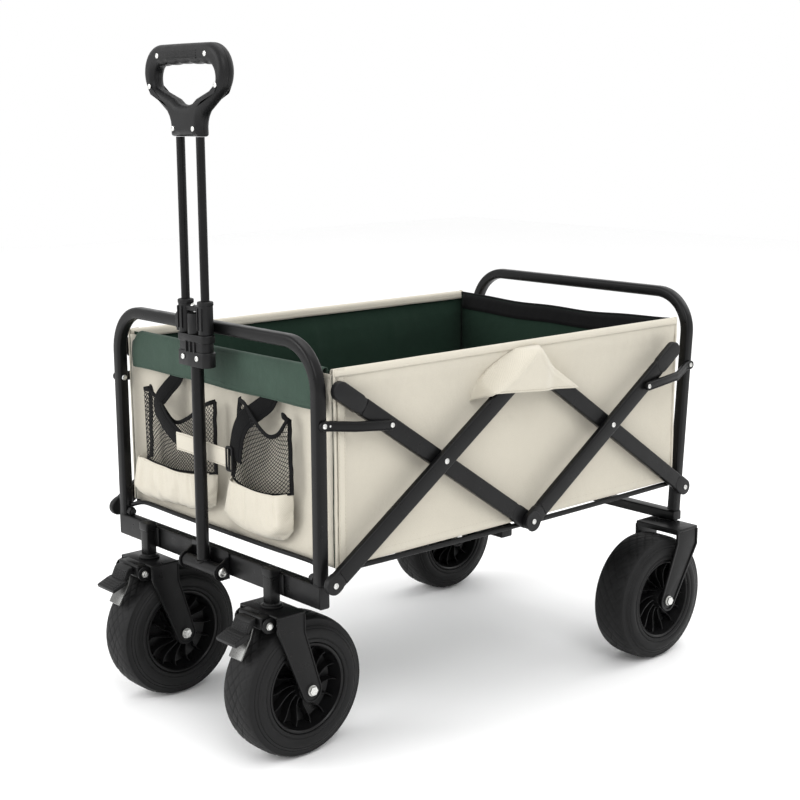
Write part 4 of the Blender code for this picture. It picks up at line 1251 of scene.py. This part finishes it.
def make_corners(side, sign):
    """Bound vertical edges of the tub. The rear pair moves with the rear frame."""
    for label, y, way, body in (("front", FRONT_Y, 1, "front_frame"), ("rear", BACK_Y, -1, "rear_frame")):
        edge = []
        for i in range(19):
            z = TUB_LOW + 0.001 + (TUB_TOP - TUB_LOW + 0.001) * i / 18
            edge.append((sign * (TUB_X - 0.001 + 0.0006 * ripple((z, y, 0), 30.0, 6)),
                         y + way * (0.0012 + 0.0006 * ripple((z, y, 4), 18.0, 7)), z))
        Shape().wire(edge, 0.0019, BACK, 12).piece(f"corner_piping_{label}_{side}", CREAM, body)
        if label == "front":
            strap = []
            for _, _, z in edge:
                strap.append((sign * (TUB_X - 0.0001), y + 0.012 + 0.0005 * ripple((z, 1, y), 16.0, 8), z))
            binding = Shape().sweep(strap, rounded_rect(0.0006, 0.0062, 0.0005, 2), BACK)
            binding.piece(f"corner_binding_{side}", CREAM, body)
            lines = Shape()
            for offset in (-0.0046, 0.0046):
                lines.sew([(sign * (TUB_X + 0.0006), p[1] + offset, p[2]) for p in strap], 0.0034, up=BACK)
            lines.piece(f"corner_stitches_{side}", THREAD, body)


def make_pivot_flap(side, sign, outer):
    """The cloth that bulges over the top pivot and the bar ends, open along its lower edge."""
    bottom_left, bottom_right = MID_Y - 0.0951, MID_Y + 0.108
    top_left, top_right = MID_Y - 0.0195, MID_Y + 0.034
    top, bend = TUB_TOP - 0.0065, 0.512
    rows, wide = outer.shape[:2]

    def wall_at(y, z):
        column = min(max((y - FRONT_Y) / TUB_LENGTH * (wide - 1), 0.0), wide - 1.001)
        row = min(max((z - TUB_LOW) / (TUB_TOP - TUB_LOW) * (rows - 1), 0.0), rows - 1.001)
        i, j = int(column), int(row)
        a, b = column - i, row - j
        low = outer[j, i, 0] * (1 - a) + outer[j, i + 1, 0] * a
        high = outer[j + 1, i, 0] * (1 - a) + outer[j + 1, i + 1, 0] * a
        return low * (1 - b) + high * b

    def place(u, v):
        z_low = 0.47 + 0.0152 * min(1.0, u / 0.05) - 0.0152 * max(0.0, (u - 0.05) / 0.85)
        z = z_low + (top - z_low) * v
        left = bottom_left + (top_left - bottom_left) * v - 0.02 * math.sin(math.pi * v)
        right = bottom_right + (top_right - bottom_right) * v
        y = left + (right - left) * u
        over_bar = 0.05 + 0.6 * v - 0.24 * v * v
        rise = plateau(u, over_bar, 0.965 - 0.2 * v - 0.26 * v * v)
        stand = 0.0286 - 0.0116 * smooth(y - MID_Y, 0.014, 0.05)
        share = min(1.0, max(0.0, (z - bend) / (top - bend)))
        close = (1 - share ** 5) ** (1 / 5)
        base = wall_at(y, z) - 0.0006 + 0.0018 * min(rise * 8.0, 1.0) * close
        ridge = 0.0012 * hump(u, over_bar + 0.03, 0.03) + 0.001 * hump(u, 0.9 - 0.36 * v, 0.035)
        out = (TUB_X + stand - base + ridge + 0.0006 * ripple((y, z, 0), 40.0, 9)) * close * rise
        return (sign * (base + max(0.0, out)), y, z)

    columns = 100
    mesh = sheet_mesh("flap", place, columns, 34)
    piece = settle_piece(f"pivot_flap_{side}", mesh, CREAM, None, (), CLOTH_ANGLE)
    fold_with_walls(thicken(piece, HEM_T, 0.0))
    path = [place(i / columns, 0.05) for i in range(9, columns - 5)]
    line = Shape().sew([(x + sign * 0.0008, y, z) for x, y, z in path], 0.0034, 0.002)
    fold_with_walls(line.piece(f"pivot_flap_stitches_{side}", THREAD, None))


def end_panel(name, y, way, top, material, replaces, seed, flip, wave=1.0, inset=0.004, low=TUB_LOW):
    """One end wall's cloth or lining; way is the outward direction along Y."""
    half, columns, rows = TUB_X - inset, 76, 40

    def place(u, v):
        x = -half + 2 * half * u
        z = low + (top(u) - low) * v
        belly = math.sin(math.pi * u) ** 0.5 * math.sin(math.pi * min(1.0, v * 0.96 + 0.02)) ** 0.5
        slack = 0.0016 * ripple((x, 0, z * 0.5), 8.0, seed) + 0.0008 * ripple((x, 0, z), 24.0, seed + 1)
        return (x, y - way * (0.0026 * belly + (slack + 0.0014) * belly * wave), z)

    mesh = sheet_mesh(name, place, columns, rows)
    simulate(mesh, rim_indices(columns, rows), (0.0, -way * 5.0, -7.0), 0.006, 14, 0.008)
    grid = grid_of(mesh, columns)
    grid[:, :, 1] = np.maximum(grid[:, :, 1], y) if way < 0 else np.minimum(grid[:, :, 1], y)
    body = "front_frame" if way < 0 else "rear_frame"
    piece = grid_piece(name, grid, material, WALL_T, body, replaces, flip)
    return grid


def make_end_walls():
    """Front and rear cloth with their linings, the rear top edge and the green flap folded over the front."""

    def rear_top(u):
        sag = math.sin(math.pi * u)
        return TUB_TOP - 0.003 - 0.0055 * sag + 0.0012 * math.sin(17 * u) * sag

    inside = {"inset": 0.0075, "low": TUB_LOW + FLOOR_GAP}
    end_panel("front_wall_cloth", FRONT_Y + 0.0002, -1, lambda u: TUB_TOP - 0.006, CREAM, ["front_wall"], 11,
              1)
    end_panel("front_lining", FRONT_Y + 0.006, -1, lambda u: TUB_TOP - 0.002, GREEN, (), 13, -1, **inside)
    end_panel("rear_wall_cloth", BACK_Y - 0.0004, 1, rear_top, CREAM, ["rear_wall"], 15, -1)
    lining = end_panel("rear_lining", BACK_Y - 0.0056, 1, rear_top, GREEN, (), 17, 1, 1.8, **inside)
    edge, half = [], TUB_X - 0.0045
    for u in [i / 60 for i in range(61)]:
        edge.append((-half + 2 * half * u, BACK_Y - 0.0034 + 0.0006 * ripple((u, 0, 2), 9.0, 3), rear_top(u)))
    roll = Shape().sweep(edge, rounded_rect(0.0034, 0.0026, 0.0022, 3), BACK)
    roll.piece("rear_top_binding", WEBBING, "rear_frame")
    grid_piece("rear_inner_hem", lining[-5:, 1:-1] - np.array([0, 0.0016, 0]), WEBBING, 0.001, "rear_frame")
    lines = Shape()
    for z in (TUB_TOP - 0.019, TUB_LOW + 0.011):
        lines.sew([(x, BACK_Y + 0.0004, z) for x, _, _ in edge[1:-1]])
    lines.piece("rear_stitches", THREAD, "rear_frame")
    make_front_flap()


def make_front_flap():
    """The green flap: the lining turned over the front edge, hanging outside with a sewn hem."""
    low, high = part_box("front_flap")
    columns, over = 96, 0.3

    def place(u, v):
        """The first 0.3 of v turns over the edge and the rest hangs."""
        x = low.x + (high.x - low.x) * u
        crest = high.z - 0.015 * (1 - smooth(u, 0.0, 0.045)) ** 1.5 - 0.0008 * math.sin(math.pi * u)
        bottom = low.z + 0.0014 + 0.0012 * math.sin(5.0 * u + 0.6) + 0.0006 * math.sin(19 * u)
        start_z = crest - 0.0044
        if v < over:
            t = v / over
            angle = math.pi * t
            y = FRONT_Y + 0.001 + 0.0052 * math.cos(angle)
            return (x, y, start_z + 0.0044 * math.sin(angle) - 0.014 * (1 - t) * (1 - smooth(t, 0.0, 0.35)))
        t = (v - over) / (1 - over)
        billow = 0.0016 * math.sin(math.pi * t) + 0.0012 * t * ripple((x, 0, t * 0.04), 13.0, 21)
        return (x, FRONT_Y - 0.0042 - max(-0.0008, billow), start_z + (bottom - start_z) * t)

    mesh = sheet_mesh("front_flap_cloth", place, columns, 22)
    piece = settle_piece("front_flap_cloth", mesh, LIT_FLAP_GREEN, "front_frame", ["front_flap"], CLOTH_ANGLE)
    thicken(piece, HEM_T, 0.0)
    edge = [place(i / columns, 1.0) for i in range(1, columns)]
    edge = [(x, y - 0.0002, z + 0.0004) for x, y, z in edge]
    hem = Shape().sweep(edge, rounded_rect(0.0011, 0.0013, 0.0008, 2), BACK)
    hem.piece("front_flap_hem", LIT_FLAP_GREEN, "front_frame")
    line = Shape().sew([(x, y - 0.0009, z + 0.0075) for x, y, z in edge])
    line.piece("front_flap_stitches", LIT_FLAP_GREEN, "front_frame")


def make_floor():
    """The floor mat: four padded panels with sewn folds between them."""
    low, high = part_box("floor_mat")
    low.x, high.x = low.x - FLOOR_GAP, high.x + FLOOR_GAP
    size = high - low
    columns, rows, panels = 60, 96, 4
    wide = columns + 1

    def height(u, v):
        swell = plateau(u, 0.035, 0.965) * plateau((v * panels) % 1.0, 0.07, 0.93)
        return 0.0012 + 0.0045 * swell + 0.0004 * ripple((u * 0.5, v * 0.7, 0), 18.0, 31) * swell

    top = [(low.x + size.x * i / columns, low.y + size.y * j / rows,
            low.z + min(size.z, height(i / columns, j / rows))) for j in range(rows + 1) for i in range(wide)]
    base = [(x, y, low.z + 0.0002) for x, y, _ in top]
    faces = []
    for face in skin(rows + 1, wide):
        faces += [face, tuple(len(top) + k for k in reversed(face))]
    loop = ([i for i in range(wide)] + [j * wide + columns for j in range(1, rows + 1)]
            + [rows * wide + i for i in range(columns - 1, -1, -1)] + [j * wide for j in range(rows - 1, 0,
                                                                                               -1)])
    for a, b in zip(loop, loop[1:] + loop[:1]):
        faces.append((a, b, len(top) + b, len(top) + a))
    mat = Shape().add(top + base, faces).piece("floor_mat_padded", GREEN, None, (), CLOTH_ANGLE)
    fold_with_walls(mat)
    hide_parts("floor_mat")
    lines = Shape()
    for k in range(1, panels):
        for offset in (-0.0045, 0.0045):
            y, z = low.y + size.y * k / panels + offset, low.z + 0.0021
            lines.sew([(low.x + 0.012, y, z), (high.x - 0.012, y, z)], 0.005, 0.003)
    fold_with_walls(lines.piece("floor_mat_stitches", GREEN, None))


# ---- Pockets ----

POCKET_Y = FRONT_Y - 0.0012


def net(place, width, height):
    """Diagonal netting over a patch place(u, v), whose size is width by height."""
    shape, pitch, step = Shape(), 0.0064, 0.004
    for family in (0, 1):
        for k in range(int((width + height) / pitch) + 1):
            start = k * pitch - height
            low, high = max(0.0, -start), min(height, width - start)
            if high - low < 0.003:
                continue
            steps = max(2, int((high - low) / step))
            path = []
            for i in range(steps + 1):
                v = low + (high - low) * i / steps
                u = width - (start + v) if family else start + v
                path.append(place(u / width, v / height))
            shape.wire(path, 0.00058, (0, 1, 0.05), 4)
    return shape


def pocket_patch(top, bottom, y, depth):
    """A patch between two edges of a few (x, z) points each, which stands depth(u, v, x, z) out from y."""

    def place(u, v):
        (x1, z1), (x0, z0) = curve_value(top, u), curve_value(bottom, u)
        x, z = x0 + (x1 - x0) * v, z0 + (z1 - z0) * v
        return (x, y - depth(u, v, x, z), z)

    return place


def make_pockets():
    """Two net pockets with bound edges over pleated cream bottoms, webbing, a cream strap and its buckle."""
    nets = (
        ("left", (0.176, 0.1),
         ((-0.183, 0.466), (-0.16, 0.467), (-0.135, 0.452), (-0.105, 0.428), (-0.075, 0.436), (-0.04, 0.458),
          (-0.012, 0.47)), ((-0.185, 0.36), (-0.15, 0.355), (-0.11, 0.353), (-0.07, 0.356), (-0.014, 0.364))),
        ("right", (0.126, 0.104),
         ((0.046, 0.482), (0.07, 0.48), (0.092, 0.466), (0.112, 0.452), (0.13, 0.444), (0.146, 0.45),
          (0.1565, 0.47)),
         ((0.025, 0.368), (0.058, 0.362), (0.092, 0.36), (0.125, 0.361), (0.1597, 0.367))),
    )
    for side, size, top, bottom in nets:

        def depth(u, v, *_):
            full = math.sin(math.pi * min(1, max(0, u))) ** 0.55
            if side == "left":
                full = smooth(u, 0.0, 0.06) * (1 - 0.55 * smooth(u, 0.1, 0.9)) * (1 - 0.7 * smooth(u, 0.94,
                                                                                                   1.0))
            return 0.002 + 0.0165 * full * (0.8 + 0.2 * v)

        place = pocket_patch(top, bottom, POCKET_Y, depth)
        strands = net(place, *size)
        piece = strands.piece(f"pocket_net_{side}", NET, "front_frame", [f"mesh_pocket_{side}"], CLOTH_ANGLE)
        edges = Shape().band([place(i / 40, 1.0) for i in range(41)], 0.0062, 0.0018)
        for u, wide in ((0.0, 0.0085), (1.0, 0.008)):
            upright = [place(u, v / 20) for v in range(21)]
            upright = [(x + 0.0012 * ripple((z, u, 0), 60.0, 5),
                        y - 0.0012 - 0.001 * ripple((z, 3, u), 70.0, 6), z)
                       for x, y, z in upright]
            edges.band(upright, wide, 0.0024)
        foot = [place(i / 40, 0.0) for i in range(41)]
        edges.band([(x, y - 0.0006, z + 0.0015) for x, y, z in foot], 0.0036, 0.0014)
        edges.piece(f"pocket_binding_{side}", WEBBING, "front_frame")
        make_pocket_bottom(side, *POCKET_BOTTOMS[side])
    make_straps()


# Each pocket bottom's flat size, top edge and lower edge.
POCKET_BOTTOMS = {
    "left": ((0.225, 0.068),
             ((-0.221, 0.356), (-0.19, 0.36), (-0.15, 0.357), (-0.1, 0.355), (-0.06, 0.358), (-0.014, 0.366)),
             ((-0.236, 0.3), (-0.205, 0.296), (-0.15, 0.298), (-0.09, 0.301), (-0.045, 0.306),
              (-0.022, 0.316))),
    "right": ((0.165, 0.07),
              ((0.023, 0.368), (0.045, 0.366), (0.075, 0.363), (0.105, 0.362), (0.135, 0.364), (0.16, 0.369)),
              ((-0.002, 0.312), (0.03, 0.302), (0.07, 0.296), (0.11, 0.296), (0.14, 0.3), (0.158, 0.316))),
}


def make_pocket_bottom(side, flat, top, skirt):
    """The pleated cream bottom of a pocket: full below the net and drawn in at its lower edge."""
    columns, rows = 60, 22

    def depth(u, v, x, z):
        sides = plateau(u, 0.16, 0.86)
        full = (0.0175 * smooth(v, -0.05, 0.34) - 0.002 * smooth(v, 0.6, 1.0)) * sides
        pleat = 0.0014 * hump(u, 0.8, 0.02) + 0.001 * hump(u, 0.2, 0.03)
        soft = 0.0016 * ripple((x, 0, z), 26.0, 41) * sides
        return 0.0008 + max(0.0, full + (pleat + soft) * sides)

    mesh = sheet_mesh(f"pocket_bottom_{side}", pocket_patch(top, skirt, POCKET_Y, depth), columns, rows)
    simulate(mesh, rim_indices(columns, rows), (0.0, -1.0, -8.0), 0.03, 12, 0.006)
    grid = grid_of(mesh, columns)
    grid[:, :, 1] = np.minimum(grid[:, :, 1], POCKET_Y - 0.0006)
    piece = grid_piece(f"pocket_bottom_{side}", grid, CREAM, 0.001, "front_frame", (), -1)
    line = Shape()
    for row, shift in ((1, (0, -0.0005, 0.0022)), (-1, (0, -0.0007, -0.003))):
        line.sew([tuple(p + np.array(shift)) for p in grid[row, 2:-2]], 0.0034, 0.002)
    line.piece(f"pocket_stitches_{side}", THREAD, "front_frame")


def make_straps():
    """Black webbing from under the flap, the cream strap behind the mast, and its buckle."""
    webs = Shape()
    for points, width in (
        (((-0.106, 0.0, 0.506), (-0.112, 0.002, 0.49), (-0.124, 0.012, 0.472), (-0.136, 0.019, 0.452),
          (-0.124, 0.022, 0.436), (-0.102, 0.023, 0.42), (-0.08, 0.0222, 0.408)), 0.026),
        (((0.118, 0.0, 0.503), (0.108, 0.0016, 0.486), (0.092, 0.011, 0.471), (0.076, 0.018, 0.458),
          (0.064, 0.0195, 0.44), (0.057, 0.0195, 0.418), (0.051, 0.0175, 0.399)), 0.029),
        (((0.142, 0.004, 0.472), (0.15, 0.008, 0.474), (0.157, 0.006, 0.468)), 0.009),
        (((-0.181, 0.003, 0.462), (-0.172, 0.009, 0.468), (-0.16, 0.014, 0.462)), 0.011),
    ):
        path = [(x, POCKET_Y - depth, z) for x, depth, z in smooth_path(points, 30)]
        webs.band(path, width, 0.0016)
        webs.band([(x, y - 0.0009, z) for x, y, z in path], width * 0.55, 0.0008)
    webs.piece("pocket_webbing", WEBBING, "front_frame")
    points = ((-0.084, 0.0235, 0.4045), (-0.052, 0.025, 0.405), (-0.018, 0.026, 0.4038),
              (0.012, 0.0255, 0.402), (0.041, 0.0215, 0.3995))
    path = [(x, POCKET_Y - depth, z) for x, depth, z in smooth_path(points, 40)]
    Shape().band(path, 0.0265, 0.0018).piece("cream_strap", CREAM, "front_frame")
    lines = Shape()
    for offset in (-0.0108, 0.0108):
        lines.sew([(x, y - 0.0011, z + offset) for x, y, z in path[1:-1]], 0.003)
    lines.piece("cream_strap_stitches", THREAD, "front_frame")
    x, y, z = 0.0445, POCKET_Y - 0.0225, 0.3995
    ring = [(x + a, y, z + b) for a, b in rounded_rect(0.0065, 0.0165, 0.003)]
    buckle = Shape().sweep(ring, rounded_rect(0.0015, 0.0017, 0.0008, 2), BACK, closed=True)
    bar = [(x, y - 0.0008, z + dz) for dz in (-0.0155, 0.0155)]
    buckle.sweep(bar, rounded_rect(0.0014, 0.0014, 0.0007, 2), BACK)
    buckle.piece("strap_buckle", PLASTIC, "front_frame")


def make_wire():
    """The wire along the foot of the front wall, hooked forward to the posts at its ends."""
    y = FRONT_Y - 0.0066
    half = smooth_path(((0.0, y, 0.2838), (0.11, y, 0.284), (0.19, y, 0.285), (0.213, y - 0.0015, 0.2835),
                        (0.2275, y - 0.0095, 0.279)), 30)
    path = [(-a, b, c) for a, b, c in reversed(half)] + half[1:]
    wire = Shape().wire(path, 0.0034, BACK, 14)
    wire.piece("front_floor_wire_rod", STEEL, "front_frame", ["front_floor_wire"])
    nuts = Shape()
    for sign in (-1, 1):
        place = facing((sign * (POST_X - TUBE_R - 0.0015), MID_Y - BAY, PIVOT_Z), (-sign, 0, 0))
        nuts.plate("YZ", [circle((0, 0), 0.007, 6)], 0.0, 0.008, bevel=0.0012, at=place)
        nuts.turn([(0.0, 0.008), (0.004, 0.008), (0.004, 0.011), (0.0, 0.0116)], 16, at=place)
    nuts.piece("front_pivot_nuts", PLASTIC, "front_frame")


# ---- Stage ----


def make_stage():
    """Pale floor and backdrop, soft studio light and the camera."""
    floor_size = 14.0
    mesh = bpy.data.meshes.new("studio_floor")
    half = floor_size / 2
    mesh.from_pydata([(-half, -half, 0), (half, -half, 0), (half, half, 0), (-half, half, 0)], [],
                     [(0, 1, 2, 3)])
    floor = bpy.data.objects.new("studio_floor", mesh)
    bpy.context.scene.collection.objects.link(floor)
    pale = Material("pale_floor", (0.96, 0.96, 0.96), 0.9)
    pale.link(pale.mix(pale.noise(3.0), (0.955, 0.955, 0.955, 1), (0.965, 0.965, 0.965, 1)), "Base Color")
    mesh.materials.append(pale.data)
    bpy.context.scene.view_settings.view_transform = "Standard"
    world = bpy.data.worlds.new("studio")
    bpy.context.scene.world = world
    world.use_nodes = True
    background = world.node_tree.nodes["Background"]
    background.inputs["Color"].default_value = (1.0, 1.0, 1.0, 1.0)
    background.inputs["Strength"].default_value = 1.0
    for name, place, size, power in (
        ("key_light", (3.0, -1.4, 3.2), 2.2, 62.0),
        ("fill_light", (-1.6, -3.6, 2.2), 2.6, 85.0),
        ("top_light", (0.0, 0.6, 3.8), 3.0, 45.0),
        ("rim_light", (0.5, 3.4, 2.2), 2.0, 25.0),
    ):
        data = bpy.data.lights.new(name, "AREA")
        data.size = size
        data.energy = power
        light = bpy.data.objects.new(name, data)
        bpy.context.scene.collection.objects.link(light)
        light.location = place
        aim = Vector((0.0, 0.0, 0.35)) - Vector(place)
        light.rotation_euler = aim.to_track_quat("-Z", "Y").to_euler()
    data = bpy.data.cameras.new("camera")
    data.lens = 66.88
    data.shift_x = -0.00125
    data.shift_y = 0.0028
    camera = bpy.data.objects.new("camera", data)
    bpy.context.scene.collection.objects.link(camera)
    camera.location = (1.6927, -1.496, 0.8748)
    camera.rotation_euler = [math.radians(turn) for turn in (90 - 11.225, 0.228, 48.192)]
    bpy.context.scene.camera = camera


make_stage()
dress_cad_nodes()
make_hoops()
make_crossbars()
make_scissors()
make_wheels()
make_forks()
make_brakes()
make_handle()
make_grip()
make_side_walls()
make_end_walls()
make_floor()
make_pockets()
make_wire()
